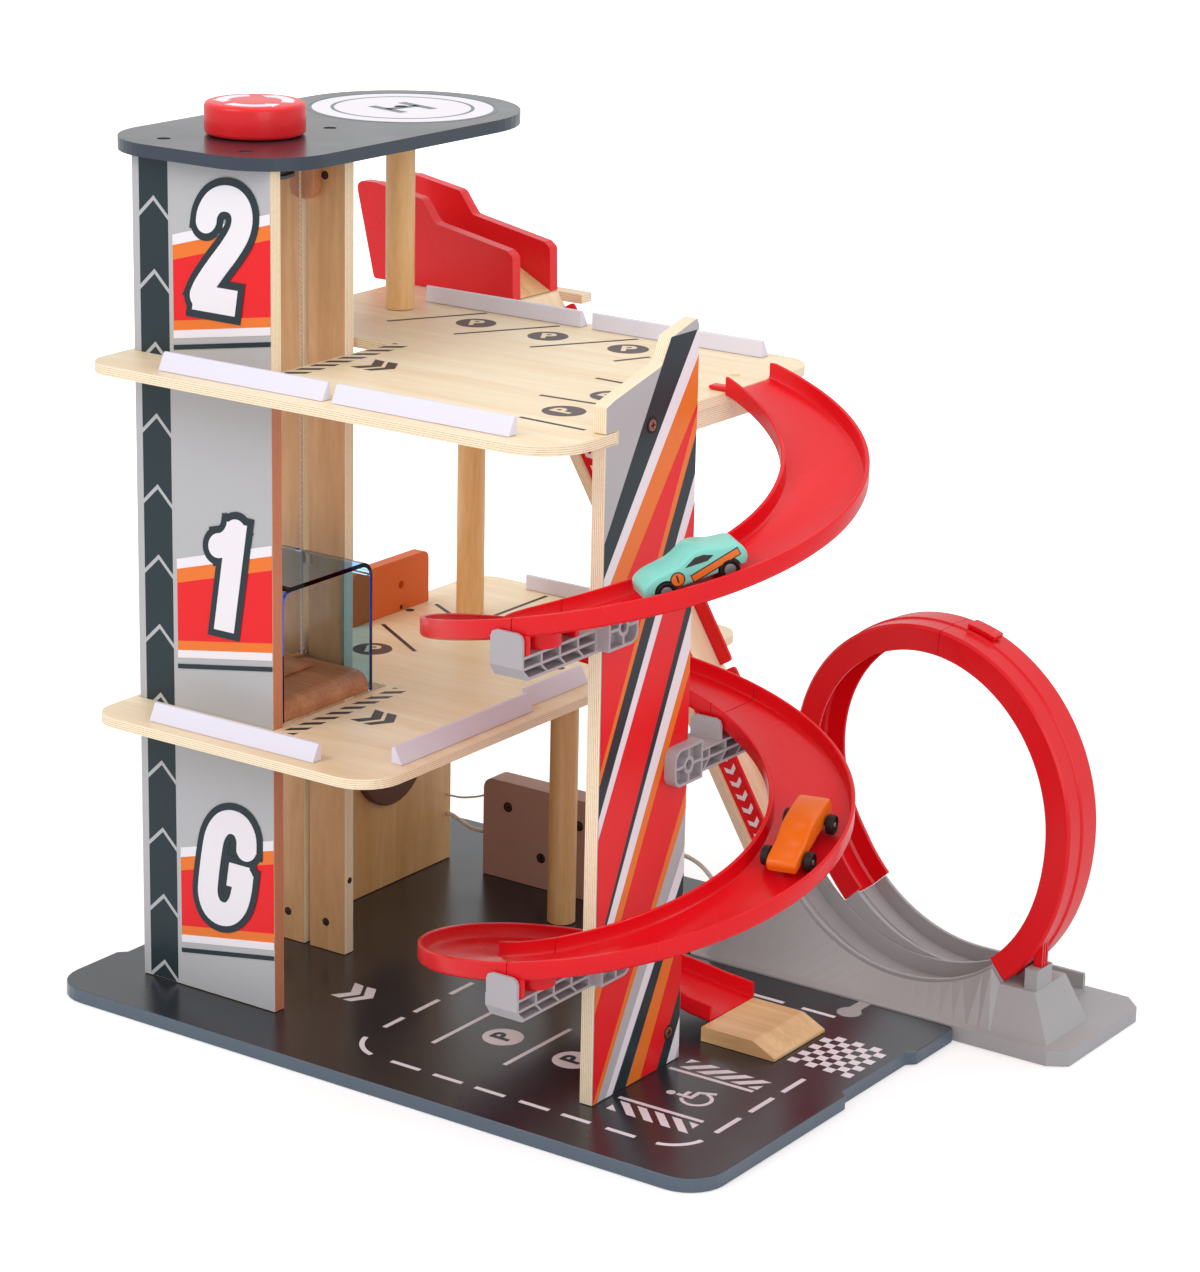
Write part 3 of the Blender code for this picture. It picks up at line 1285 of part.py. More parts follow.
def loop_base():
    """The grey base: a flat foot with a key, two curved lanes, their side walls and the socket."""
    right_y = (BASE_FRONT_Y + BASE_BACK_Y) / 2
    foot_left = BASE_LEFT
    corners = [
        (foot_left, BASE_FRONT_Y, 2.0 * MM),
        (BASE_RIGHT - BASE_CORNER, BASE_FRONT_Y, 0),
        (BASE_RIGHT, BASE_FRONT_Y + BASE_CORNER / 1.5, 0),
        (BASE_RIGHT, BASE_BACK_Y - BASE_CORNER, 0),
        (BASE_RIGHT - BASE_CORNER, BASE_BACK_Y, 0),
        (foot_left + 18.0 * MM, BASE_BACK_Y, 8.0 * MM),
        (foot_left, right_y, 8.0 * MM),
    ]
    outline = rounded(corners, steps=4)
    base = as_mesh(sheet("loop_base", [outline], "XY", 0.0, BASE_FOOT, None))
    finish_of(base, GREY_PLASTIC)
    end = 360.0 + RIGHT_JOINT_ANGLE
    front = lane("lane_front", LANE_START_ANGLE, end, LANE_WALL, lambda a: 0.0,
                 lambda a: LOOP_FRONT_Y, 20)
    back = lane("lane_back", LEFT_JOINT_ANGLE, 270.0, LANE_WALL, lambda a: 1.0,
                lambda a: LOOP_BACK_Y, 14, exit_x=EXIT_X)
    inset = 0.7
    back_y = LOOP_BACK_Y + LOOP_HALF_WIDTH - 0.5 * MM
    low_left = loop_point(LEFT_JOINT_ANGLE, 0.0, 1.0)[0] - 16.0 * MM
    back_end = EXIT_X - MM
    back_skirt = skirt_outline(LEFT_JOINT_ANGLE + inset, 270.0, 1.0, low_left, back_end)
    flat_top = LOOP_Z - LOOP_RADIUS_Z + LANE_WALL - 3.0 * MM
    back_skirt.insert(0, Vector((back_end, flat_top)))
    key = keyhole(KEY_NECK, KEY_RADIUS, BASE_FRONT_Y + BASE_FOOT, KEY_REACH + SEAT_GAP + BASE_FOOT)
    tongue = as_mesh(sheet("loop_base_tongue", [key], "XY", 0.0, BOARD_THICKNESS, None))
    pieces = [tongue, front, back, front_wall(LANE_START_ANGLE + inset, end - inset)]
    pieces.append(as_mesh(sheet("skirt_back", [back_skirt], "XZ", back_y, SKIRT, None)))
    pieces.extend(loop_socket())
    pieces.append(cord_gland())
    joined(base, pieces)
    peg_low = lane_y((PEG_LOW_ANGLE + PEG_HIGH_ANGLE) / 2) - LOOP_HALF_WIDTH / 2
    gap = SEAT_GAP
    low_x = loop_point(PEG_LOW_ANGLE, -SKIN + OVERLAP, lane_fraction(PEG_LOW_ANGLE))[0]
    high_x = loop_point(PEG_HIGH_ANGLE, -SKIN + OVERLAP, lane_fraction(PEG_HIGH_ANGLE))[0]
    half = PEG_THICKNESS / 2 + 2 * gap
    pocket = cutter_box(
        "peg_pocket",
        (low_x - gap, peg_low - half, PEG_BOTTOM - gap),
        (high_x + gap, peg_low + half, COLLAR_TOP + OVERLAP),
    )
    boolean(base, pocket, "DIFFERENCE")


def front_wall(start, end):
    """The base's sloping front wall, from just under the lane's lip down to the foot."""
    steps = 22
    inside = BASE_FOOT / 2
    upper = []
    for step in range(steps + 1):
        angle = start + (end - start) * step / steps
        x, z = loop_point(angle, LANE_WALL - 1.6 * MM, 0.0)
        upper.append(Vector((x, FRONT_WALL_TOP_Y, z)))
    upper.append(Vector((SOCKET_TOP_X[0], FRONT_WALL_TOP_Y, SOCKET_TOP - 0.5 * MM)))
    upper.append(Vector((SOCKET_TOP_X[1] - MM, FRONT_WALL_TOP_Y, SOCKET_TOP - 0.5 * MM)))
    left = BASE_LEFT + 6.0 * MM
    right = SOCKET_FOOT_X[1] - MM
    span = upper[-1].x - upper[0].x
    lower = []
    for place in upper:
        along = (place.x - upper[0].x) / span
        lower.append(Vector((left + (right - left) * along, FRONT_WALL_FOOT_Y, inside)))
    bm = bmesh.new()
    verts = [bm.verts.new(place) for place in upper]
    edges = [bm.edges.new(pair) for pair in zip(verts, verts[1:])]
    made = bmesh.ops.extrude_edge_only(bm, edges=edges)["geom"]
    below = [item for item in made if isinstance(item, bmesh.types.BMVert)]
    below.sort(key=lambda vert: vert.co.x)
    for vert, place in zip(below, lower):
        vert.co = place
    bmesh.ops.recalc_face_normals(bm, faces=bm.faces)
    front = 1.0 if sum(face.normal.y for face in bm.faces) < 0 else -1.0
    bmesh.ops.solidify(bm, geom=list(bm.faces), thickness=front * SKIRT)
    return add_part("skirt_front", mesh_from("skirt_front", bm), None)


def loop_socket():
    """The sloping block at the base's right end, and the collar that takes the loop's peg."""
    low = BASE_FOOT / 2
    bm = bmesh.new()
    bmesh.ops.create_cube(bm, size=1.0)
    for vert in bm.verts:
        top = vert.co.z > 0
        xs = SOCKET_TOP_X if top else SOCKET_FOOT_X
        ys = SOCKET_TOP_Y if top else SOCKET_FOOT_Y
        vert.co.x = xs[1] if vert.co.x > 0 else xs[0]
        vert.co.y = ys[1] if vert.co.y > 0 else ys[0]
        vert.co.z = SOCKET_TOP if top else low
    block = add_part("loop_socket", mesh_from("loop_socket", bm), None)
    collar = add_part("loop_collar", box_mesh(
        "loop_collar",
        (COLLAR_X[0], COLLAR_Y[0], SOCKET_TOP - 3.0 * MM),
        (COLLAR_X[1], COLLAR_Y[1], COLLAR_TOP),
    ), None)
    return [block, collar]


def cord_gland():
    """The short sleeve on the base's left end that the station's hose goes into."""
    low = BASE_FOOT / 2
    mesh = rod_mesh("cord_gland", GLAND_RADIUS, BASE_FOOT + GLAND_HEIGHT - low, 14)
    gland = add_part("cord_gland", mesh, None)
    gland.location = (GLAND_X, GLAND_Y, low)
    return gland


def station():
    """The upright block behind the ground floor, with its string and hoses."""
    low = ON_BOARD
    high = low + STATION_HEIGHT
    outline = rounded([
        (STATION_LEFT, low, 0),
        (STATION_RIGHT, low, 0),
        (STATION_RIGHT, high, STATION_CORNER),
        (STATION_LEFT, high, STATION_CORNER),
    ])
    sheet("station_block", [outline], "XZ", STATION_FRONT_Y, STATION_THICKNESS, BROWN_PAINT)
    middle = STATION_FRONT_Y + STATION_THICKNESS / 2
    panel = SUPPORT_FACE_X + SEAT_GAP
    left = STATION_LEFT - SEAT_GAP
    right = STATION_RIGHT + SEAT_GAP
    side = SUPPORT_BACK_Y - 4.0 * MM
    string = [
        (panel, side, 0.057),
        (-0.1795, 0.1300, 0.0570),
        (-0.1720, 0.1302, 0.0577),
        (-0.1620, 0.1306, 0.0602),
        (-0.1550, 0.1310, 0.0627),
        (left, middle, 0.065),
    ]
    hose = [
        (panel, side, 0.043),
        (-0.1810, 0.1300, 0.0428),
        (-0.1740, 0.1302, 0.0402),
        (-0.1660, 0.1306, 0.0370),
        (-0.1580, 0.1312, 0.0362),
        (-0.1530, 0.1316, 0.0368),
        (left, middle, 0.0372),
    ]
    lead = [
        (right, middle, 0.0605),
        (-0.0350, 0.1316, 0.0604),
        (-0.0200, 0.1310, 0.0596),
        (-0.0040, 0.1288, 0.0590),
        (0.0110, 0.1250, 0.0598),
        (0.0240, 0.1210, 0.0604),
        (0.0350, 0.1185, 0.0580),
        (0.0435, 0.1177, 0.0520),
        (0.0500, 0.1175, 0.0440),
        (0.0545, 0.1175, 0.0350),
        (0.0565, 0.1175, 0.0260),
        (GLAND_X, GLAND_Y, BASE_FOOT + GLAND_HEIGHT + SEAT_GAP),
    ]
    tube("station_string", string, STRING_RADIUS, CORD_WHITE)
    tube("station_hose", hose, HOSE_RADIUS, CORD_WHITE)
    tube("station_lead", lead, HOSE_RADIUS, CORD_WHITE)


def lift_cabin():
    """The clear hood, its wooden floor and the runner that holds it in the tower's slit."""
    low = CABIN_BOTTOM
    high = low + CABIN_HEIGHT
    front, back = CABIN_FRONT_Y, CABIN_BACK_Y
    wall = CABIN_WALL
    corner = CABIN_CORNER
    outer = rounded([(front, high, corner), (back, high, corner)] + [(back, low, 0),
                    (back - wall, low, 0)], steps=5)
    inner = rounded([
        (back - wall, low, 0),
        (back - wall, high - wall, corner - wall),
        (front + wall, high - wall, corner - wall),
        (front + wall, low, 0),
    ], steps=5)
    outline = rounded([
        (front, low, 0),
        (front, high, corner),
        (back, high, corner),
        (back, low, 0),
        (back - wall, low, 0),
        (back - wall, high - wall, corner - wall),
        (front + wall, high - wall, corner - wall),
        (front + wall, low, 0),
    ], steps=5)
    length = CABIN_RIGHT - CABIN_LEFT
    shell = as_mesh(sheet("cabin_hood", [outline], "YZ", CABIN_LEFT, length, None))
    finish_of(shell, BLUE_ACRYLIC)
    half = RUNNER_WIDTH / 2 + 2 * SEAT_GAP
    tongue_top = RUNNER_TOP
    slot = cutter_box(
        "hood_slot",
        (SLIT_X - half, back - wall - OVERLAP, low - OVERLAP),
        (SLIT_X + half, back + OVERLAP, tongue_top + SEAT_GAP),
    )
    notch_half = 3.0 * MM
    notch = cutter_box(
        "hood_cord_notch",
        (CORD_X - notch_half, CORD_Y - notch_half, high - wall - corner),
        (CORD_X + notch_half, back + OVERLAP, high + OVERLAP),
    )
    boolean(shell, slot, "DIFFERENCE")
    boolean(shell, notch, "DIFFERENCE")
    gap = SEAT_GAP
    floor_top = low + CABIN_FLOOR
    left = CABIN_LEFT + MM
    right = CABIN_RIGHT - 0.5 * MM
    start = front + wall + gap
    nose = rounded([
        (left, low, 0),
        (right, low, MM),
        (right, floor_top, CABIN_NOSE),
        (left, floor_top, MM),
    ], steps=6)
    sheet("cabin_floor", [nose], "XZ", start, back - wall - gap - start, BEECH)
    lift_runner(floor_top, tongue_top)


def lift_runner(floor_top, tongue_top):
    """The plate on the cabin's floor, its tongue through the slit and the keeper behind it."""
    gap = SEAT_GAP
    half = KEEPER_WIDTH / 2
    inside_back = CABIN_BACK_Y - CABIN_WALL - gap
    low = floor_top + gap
    keeper_y = BACK_BOARDS_END + 2 * gap
    plate_back = inside_back - RUNNER_BACK_GAP
    runner = box(
        "lift_runner",
        (CABIN_LEFT + 2.0 * MM, CABIN_FRONT_Y + CABIN_WALL + MM, low),
        (RUNNER_RIGHT, plate_back, tongue_top),
        BEECH,
    )
    thin = RUNNER_WIDTH / 2
    tongue = add_part("runner_tongue", box_mesh(
        "runner_tongue",
        (SLIT_X - thin, plate_back - OVERLAP, low + gap),
        (SLIT_X + thin, keeper_y + OVERLAP, tongue_top - gap),
    ), None)
    keeper = add_part("runner_keeper", box_mesh(
        "runner_keeper",
        (SLIT_X - half, keeper_y, low - 8.0 * MM),
        (SLIT_X + half, keeper_y + KEEPER_THICKNESS, tongue_top + 10.0 * MM),
    ), None)
    joined(runner, [tongue, keeper])


def lift_drive():
    """The knob on the roof, the spindle with its drum below, and the cord with its guide."""
    place = Matrix.Translation((KNOB_X, KNOB_Y, ROOF_TOP + SEAT_GAP))
    rounding = KNOB_ROUND
    top = KNOB_HEIGHT
    radius = KNOB_RADIUS
    bore = SPINDLE_RADIUS + SEAT_GAP
    bore_depth = 10.0 * MM
    knob_profile = [
        (0.0, top),
        (radius - rounding, top),
        (radius - rounding * 0.3, top - rounding * 0.3),
        (radius, top - rounding),
        (radius, rounding),
        (radius - rounding * 0.3, rounding * 0.3),
        (radius - rounding, 0.0),
        (bore, 0.0),
        (bore, bore_depth),
        (0.0, bore_depth),
    ]
    turned("lift_knob", knob_profile, place, RED_PAINT, steps=40)
    drum_top = ROOF_UNDER - 2.0 * MM
    drum_low = drum_top - DRUM_HEIGHT
    flange = DRUM_FLANGE_THICKNESS
    spindle_top = ROOF_TOP + bore_depth
    spindle_profile = [
        (0.0, spindle_top - drum_low),
        (SPINDLE_RADIUS, spindle_top - drum_low),
        (SPINDLE_RADIUS, DRUM_HEIGHT),
        (DRUM_FLANGE, DRUM_HEIGHT),
        (DRUM_FLANGE, DRUM_HEIGHT - flange),
        (DRUM_RADIUS, DRUM_HEIGHT - flange),
        (DRUM_RADIUS, flange),
        (DRUM_FLANGE, flange),
        (DRUM_FLANGE, 0.0),
        (0.0, 0.0),
    ]
    below = Matrix.Translation((KNOB_X, KNOB_Y, drum_low))
    turned("lift_spindle", spindle_profile, below, LIFT_GREY, steps=28)
    half = GUIDE_WIDTH / 2
    guide_top = ROOF_UNDER - SEAT_GAP
    back = SHAFT_BACK - SEAT_GAP
    box(
        "cord_guide",
        (GUIDE_X - half, back - GUIDE_DEPTH, guide_top - GUIDE_HEIGHT),
        (GUIDE_X + half, back, guide_top),
        SALMON,
        bevel=7.0 * MM,
        edges=lambda edge: all(v.co.z < guide_top - MM for v in edge.verts)
        and abs(edge.verts[0].co.y - edge.verts[1].co.y) > MM,
    )
    drum_y = KNOB_Y + DRUM_RADIUS + CORD_RADIUS + SEAT_GAP
    lead = [
        (KNOB_X - 10.0 * MM, KNOB_Y + DRUM_RADIUS * 0.93, CORD_TOP),
        (KNOB_X - 3.0 * MM, drum_y, CORD_TOP),
        (CORD_X, (drum_y + CORD_Y) / 2, CORD_TOP),
        (CORD_X, CORD_Y - 1.5 * MM, CORD_TOP - 0.3 * MM),
    ]
    tube("cord_lead", lead[1:], CORD_RADIUS, CORD_WHITE)
    drop_top = CORD_TOP - 3.0 * MM
    drop_low = RUNNER_TOP + SEAT_GAP
    count = 8
    heights = [drop_top + (drop_low - drop_top) * step / count for step in range(count + 1)]
    tube("lift_cord", [(CORD_X, CORD_Y, z) for z in heights], CORD_RADIUS, CORD_WHITE)


# Side views of the cars, in parts of their length from the middle and the wheels' foot
COUPE = (
    (0.500, 0.095), (0.484, 0.195), (0.389, 0.251), (0.262, 0.270), (0.151, 0.286),
    (0.078, 0.314), (-0.013, 0.359), (-0.094, 0.370), (-0.200, 0.343), (-0.286, 0.316),
    (-0.449, 0.286), (-0.497, 0.175), (-0.460, 0.095),
)
HATCH = (
    (0.492, 0.079), (0.500, 0.159), (0.429, 0.206), (0.206, 0.230), (0.063, 0.294),
    (-0.175, 0.310), (-0.429, 0.286), (-0.497, 0.214), (-0.497, 0.087),
)


def car_place(turn):
    """The matrix of a car that stands in the track after this many turns, nose downhill."""
    angle = math.tau * turn
    slope = TRACK_SLOPE
    forward = Vector((math.cos(angle) * math.cos(slope), -math.sin(angle) * math.cos(slope),
                      -math.sin(slope)))
    outward = Vector((math.sin(angle), math.cos(angle), 0.0))
    up = forward.cross(outward)
    place = Matrix((forward, outward, up)).transposed().to_4x4()
    centre = Vector((TRACK_X, TRACK_Y, track_top(math.degrees(angle)) - TRACK_DEPTH))
    place.translation = centre + outward * TRACK_RADIUS + up * CAR_LIFT
    return place


def car(name, points, turn, finish, width, wheel_outer):
    """A car body and its two wheel sets, parented to an empty on the track."""
    place = car_place(turn)
    holder = bpy.data.objects.new(f"{name}_place", None)
    PARTS.objects.link(holder)
    holder.matrix_world = place
    outline = rounded([(x * CAR_LENGTH, z * CAR_LENGTH, 1.4 * MM) for x, z in points], steps=2)
    body = sheet(f"{name}_body", [outline], "XZ", -width / 2, width, None)
    body = as_mesh(body)
    finish_of(body, finish)
    turned_in = body.matrix_world.copy()
    body.data.transform(turned_in)
    body.matrix_world = place
    inner = wheel_outer - WHEEL_WIDTH - 2 * SEAT_GAP
    axle_z = WHEEL_RADIUS
    across = Matrix.Rotation(math.pi / 2, 4, "X")
    for label, x in (("front", WHEEL_BASE / 2), ("rear", -WHEEL_BASE / 2)):
        for side in (-1.0, 1.0):
            if inner > width / 2:
                continue
            end = f"{name}_{label}_arch_{'left' if side > 0 else 'right'}"
            arch = add_cutter(end, rod_mesh(end, WHEEL_RADIUS + ARCH_GAP, 10.0 * MM, 20))
            start = inner + 10.0 * MM if side > 0 else -inner
            arch.matrix_world = place @ Matrix.Translation((x, start, axle_z)) @ across
            boolean(body, arch, "DIFFERENCE")
        slot = AXLE_RADIUS + AXLE_GAP
        low = (x - slot, -width, 0.0)
        cut = cutter_box(f"{name}_{label}_axle_slot", low, (x + slot, width, axle_z + slot))
        cut.matrix_world = place
        boolean(body, cut, "DIFFERENCE")
        axle = place @ Matrix.Translation((x, 0.0, axle_z)) @ across
        wheel_set(f"{name}_wheels_{label}", axle, holder, wheel_outer)
    body.parent = holder
    body.matrix_parent_inverse = place.inverted()


def wheel_set(name, place, holder, outer):
    """Two wheels on their axle, turned as one piece about the axle's own axis."""
    inner = outer - WHEEL_WIDTH
    radius = WHEEL_RADIUS
    cut = WHEEL_CHAMFER
    half = [
        (0.0, outer),
        (radius - cut, outer),
        (radius, outer - cut),
        (radius, inner + cut),
        (radius - cut, inner),
        (AXLE_RADIUS, inner),
    ]
    profile = half + [(r, -z) for r, z in reversed(half)]
    wheels = turned(name, profile, place, TYRE_BLACK, steps=20)
    wheels.parent = holder
    wheels.matrix_parent_inverse = holder.matrix_world.inverted()


def main():
    base_board()
    tower()
    floor_1()
    floor_2()
    roof()
    posts()
    pillar()
    ground_panel()
    kerbs()
    service_panel()
    launcher()
    ramp()
    spiral()
    bracket("bracket_upper", 180.0)
    bracket("bracket_middle", 360.0)
    bracket("bracket_lower", 540.0)
    finish_block()
    loop_base()
    loop_halves()
    station()
    lift_cabin()
    lift_drive()
    car("car_upper", COUPE, UPPER_CAR_TURN, TURQUOISE, COUPE_WIDTH, COUPE_WHEEL_OUTER)
    car("car_lower", HATCH, LOWER_CAR_TURN, CAR_ORANGE, HATCH_WIDTH, HATCH_WHEEL_OUTER)


main()
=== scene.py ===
"""Looks of the toy garage: wood, paint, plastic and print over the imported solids."""

import math

import bmesh
import bpy
from mathutils import Matrix, Vector


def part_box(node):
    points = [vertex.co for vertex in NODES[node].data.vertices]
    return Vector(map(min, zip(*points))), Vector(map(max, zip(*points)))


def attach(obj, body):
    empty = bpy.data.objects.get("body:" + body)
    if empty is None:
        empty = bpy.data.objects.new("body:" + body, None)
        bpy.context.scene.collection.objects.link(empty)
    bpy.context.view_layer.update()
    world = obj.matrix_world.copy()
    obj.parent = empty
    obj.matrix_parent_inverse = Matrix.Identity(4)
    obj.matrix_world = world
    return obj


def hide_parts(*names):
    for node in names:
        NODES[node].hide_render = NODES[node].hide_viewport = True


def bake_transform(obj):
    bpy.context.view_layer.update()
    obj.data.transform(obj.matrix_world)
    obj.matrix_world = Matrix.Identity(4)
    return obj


MM = 0.001
INK = 0.1 * MM

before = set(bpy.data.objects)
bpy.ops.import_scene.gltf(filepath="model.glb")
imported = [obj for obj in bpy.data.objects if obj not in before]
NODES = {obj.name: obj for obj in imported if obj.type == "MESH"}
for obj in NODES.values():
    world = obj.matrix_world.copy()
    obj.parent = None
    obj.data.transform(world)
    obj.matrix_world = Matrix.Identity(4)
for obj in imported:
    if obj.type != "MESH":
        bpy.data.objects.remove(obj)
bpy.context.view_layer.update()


def srgb(red, green, blue):
    """A linear colour from 8-bit display values."""
    values = []
    for value in (red, green, blue):
        share = value / 255.0
        values.append(share / 12.92 if share <= 0.04045 else ((share + 0.055) / 1.055) ** 2.4)
    return (*values, 1.0)


BIRCH_LIGHT = srgb(248, 232, 202)
BIRCH_DARK = srgb(238, 212, 172)
BIRCH_GLUE = srgb(196, 150, 102)
# Reddish-brown edge layer and glue line: painted shade on the tower panel's ply edges below the lower
# storeys' level
SHADED_PLY_EDGE = srgb(210, 138, 102)
SHADED_PLY_GLUE = srgb(150, 84, 54)
BEECH_LIGHT = srgb(240, 196, 140)
BEECH_DARK = srgb(224, 174, 114)
BOARD_LIGHT = srgb(232, 186, 138)
BOARD_DARK = srgb(212, 162, 114)
CHARCOAL = srgb(34, 38, 46)
BOARD_EDGE = srgb(84, 98, 112)
# The roof's edge tone is the board's charcoal paint made darker: painted shade on the roof's rim
ROOF_EDGE_SHADED = srgb(48, 58, 72)
RED_PAINT = srgb(238, 38, 44)
RED_PLASTIC = srgb(226, 14, 26)
GREY_PLASTIC = srgb(180, 174, 178)
BASE_GREY = srgb(174, 173, 175)
KERB_WHITE = srgb(226, 223, 238)
PRINT_GREY = srgb(184, 184, 187)
PRINT_PETROL = srgb(34, 50, 57)
PRINT_ORANGE = srgb(238, 120, 40)
PRINT_RED = srgb(235, 20, 28)
PRINT_WHITE = srgb(238, 233, 240)
ROAD_BROWN = srgb(58, 48, 46)

# Faces and levels of the solids that carry prints, and what several pieces share, in millimetres
BOARD_TOP, FLOOR_1_TOP, FLOOR_2_TOP, ROOF_TOP = 9.0, 196.7, 420.0, 551.0
TOWER_FACE, PILLAR_FACE = -158.0, 138.0
KNOB, KNOB_FOOT = (-163.5, -99.0), 551.3
HELIPAD = (-160.5, 43.0)
RAMP_SLOPE, RAMP_PLY = math.radians(58.97), 6.5
BAY_LINE, BAY_RADIUS, ROUTE_LINE, PLUG_RADIUS = 2.9, 13.0, 3.3, 3.2
ACROSS = Matrix.Rotation(math.pi / 2, 4, "X")


# Shader node helpers


def add_node(tree, kind, values=(), **settings):
    """A node with its first inputs linked or set from values, and its own settings."""
    made = tree.nodes.new("ShaderNode" + kind)
    for key, value in settings.items():
        setattr(made, key, value)
    pairs = values.items() if isinstance(values, dict) else enumerate(values)
    for key, value in pairs:
        if value is None:
            continue
        if isinstance(value, bpy.types.NodeSocket):
            tree.links.new(value, made.inputs[key])
        else:
            made.inputs[key].default_value = value
    return made


def math_node(tree, operation, *values):
    """The result of one sum on values or sockets."""
    return add_node(tree, "Math", values, operation=operation).outputs[0]


def mix_colour(tree, factor, first, second):
    """The first colour at factor 0 and the second at 1."""
    return add_node(tree, "Mix", {0: factor, 6: first, 7: second}, data_type="RGBA").outputs[2]


def noise(tree, vector, scale, detail, **more):
    """The value of a noise texture."""
    values = {"Vector": vector, "Scale": scale, "Detail": detail, **more}
    return add_node(tree, "TexNoise", values).outputs[0]


def ranged(tree, value, low, high, to_low=0.0, to_high=1.0, **settings):
    """A value carried from one range to another and held inside it."""
    values = {"Value": value, "From Min": low, "From Max": high, "To Min": to_low, "To Max": to_high}
    return add_node(tree, "MapRange", values, **settings).outputs[0]


def along_axis(tree, vector, axis):
    """One component of a vector."""
    return add_node(tree, "SeparateXYZ", [vector]).outputs[axis]


def facing(tree, coords, axis):
    """How far the surface faces along an axis, either way, as 0 to 1."""
    return math_node(tree, "ABSOLUTE", along_axis(tree, coords["Normal"], axis))


def seen_by_camera(tree):
    """1 for rays from the camera, straight or through the clear hood, and else 0."""
    path = add_node(tree, "LightPath").outputs
    return math_node(tree, "MAXIMUM", path["Is Camera Ray"], path["Is Transmission Ray"])


def new_group(name, inputs, outputs):
    """An empty shader group with named sockets: (name, kind, default) each."""
    tree = bpy.data.node_groups.new(name, "ShaderNodeTree")
    for label, kind, default in inputs:
        socket = tree.interface.new_socket(label, in_out="INPUT", socket_type=f"NodeSocket{kind}")
        if default is not None:
            socket.default_value = default
    for label, kind in outputs:
        tree.interface.new_socket(label, in_out="OUTPUT", socket_type=f"NodeSocket{kind}")
    return tree, tree.nodes.new("NodeGroupInput").outputs, tree.nodes.new("NodeGroupOutput").inputs


def use_group(tree, group, **values):
    """The outputs of a shared effect with this material's own values."""
    return add_node(tree, "Group", values, node_tree=group).outputs


# Camera, light and floor


def set_camera():
    """The photograph's view, with its slight roll."""
    data = bpy.data.cameras.new("camera")
    camera = bpy.data.objects.new("camera", data)
    bpy.context.scene.collection.objects.link(camera)
    azimuth, elevation, roll = (math.radians(angle) for angle in (34.605, 16.923, 1.222))
    ahead = Vector((-math.sin(azimuth) * math.cos(elevation),
                    math.cos(azimuth) * math.cos(elevation), -math.sin(elevation)))
    right = Vector((math.cos(azimuth), math.sin(azimuth), 0.0))
    up = right.cross(ahead)
    across = math.cos(roll) * right + math.sin(roll) * up
    upward = -math.sin(roll) * right + math.cos(roll) * up
    turn = Matrix((across, upward, -ahead)).transposed().to_4x4()
    camera.matrix_world = Matrix.Translation((1.2835, -1.8153, 0.9162)) @ turn
    data.sensor_width = 36.0
    data.sensor_fit = "HORIZONTAL"
    data.lens = 110.63
    data.clip_start = 0.05
    data.clip_end = 60.0
    bpy.context.scene.camera = camera


def area_light(name, place, target, size, power):
    """A round soft lamp that points at a target."""
    data = bpy.data.lights.new(name, "AREA")
    data.shape = "DISK"
    data.size = size
    data.energy = power
    lamp = bpy.data.objects.new(name, data)
    bpy.context.scene.collection.objects.link(lamp)
    lamp.location = place
    lamp.rotation_euler = (Vector(target) - Vector(place)).to_track_quat("-Z", "Y").to_euler()


def set_studio():
    """A white world, three soft lamps and the floor."""
    scene = bpy.context.scene
    scene.view_settings.view_transform = "Standard"
    world = bpy.data.worlds.new("studio")
    scene.world = world
    world.use_nodes = True
    tree = world.node_tree
    background = tree.nodes["Background"]
    background.inputs["Color"].default_value = (1.0, 1.0, 1.0, 1.0)
    strength = ranged(tree, seen_by_camera(tree), 0.0, 1.0, 0.85, 1.0)
    tree.links.new(strength, background.inputs["Strength"])
    area_light("key", (-0.9, -1.9, 2.1), (0.0, 0.0, 0.25), 1.6, 18.5)
    area_light("fill", (2.2, -1.4, 1.3), (0.05, 0.0, 0.2), 1.8, 14.0)
    area_light("top", (0.1, 0.6, 2.6), (0.05, 0.0, 0.1), 1.6, 8.0)
    set_floor()


def set_floor():
    """A pale floor that keeps the toy's shadow and fades into the white world around it."""
    bm = bmesh.new()
    bmesh.ops.create_grid(bm, x_segments=1, y_segments=1, size=14.0)
    bmesh.ops.translate(bm, vec=(0.0, 0.0, -0.3 * MM), verts=bm.verts)
    mesh = bpy.data.meshes.new("studio_floor")
    bm.to_mesh(mesh)
    bm.free()
    floor = bpy.data.objects.new("studio_floor", mesh)
    bpy.context.scene.collection.objects.link(floor)
    material = bpy.data.materials.new("studio_floor")
    material.use_nodes = True
    tree = material.node_tree
    tree.nodes.clear()
    diffuse = add_node(tree, "BsdfDiffuse", {"Color": (0.8, 0.8, 0.81, 1.0)})
    coords = add_node(tree, "TexCoord").outputs
    reach = add_node(tree, "VectorMath", [coords["Object"]], operation="LENGTH").outputs["Value"]
    glow = math_node(tree, "MULTIPLY", seen_by_camera(tree), ranged(tree, reach, 0.45, 1.5, 0.36, 1.0))
    emission = add_node(tree, "Emission", {"Strength": glow})
    both = add_node(tree, "AddShader", [diffuse.outputs[0], emission.outputs[0]])
    add_node(tree, "OutputMaterial", {"Surface": both.outputs[0]})
    mesh.materials.append(material)


# Shared effects and materials


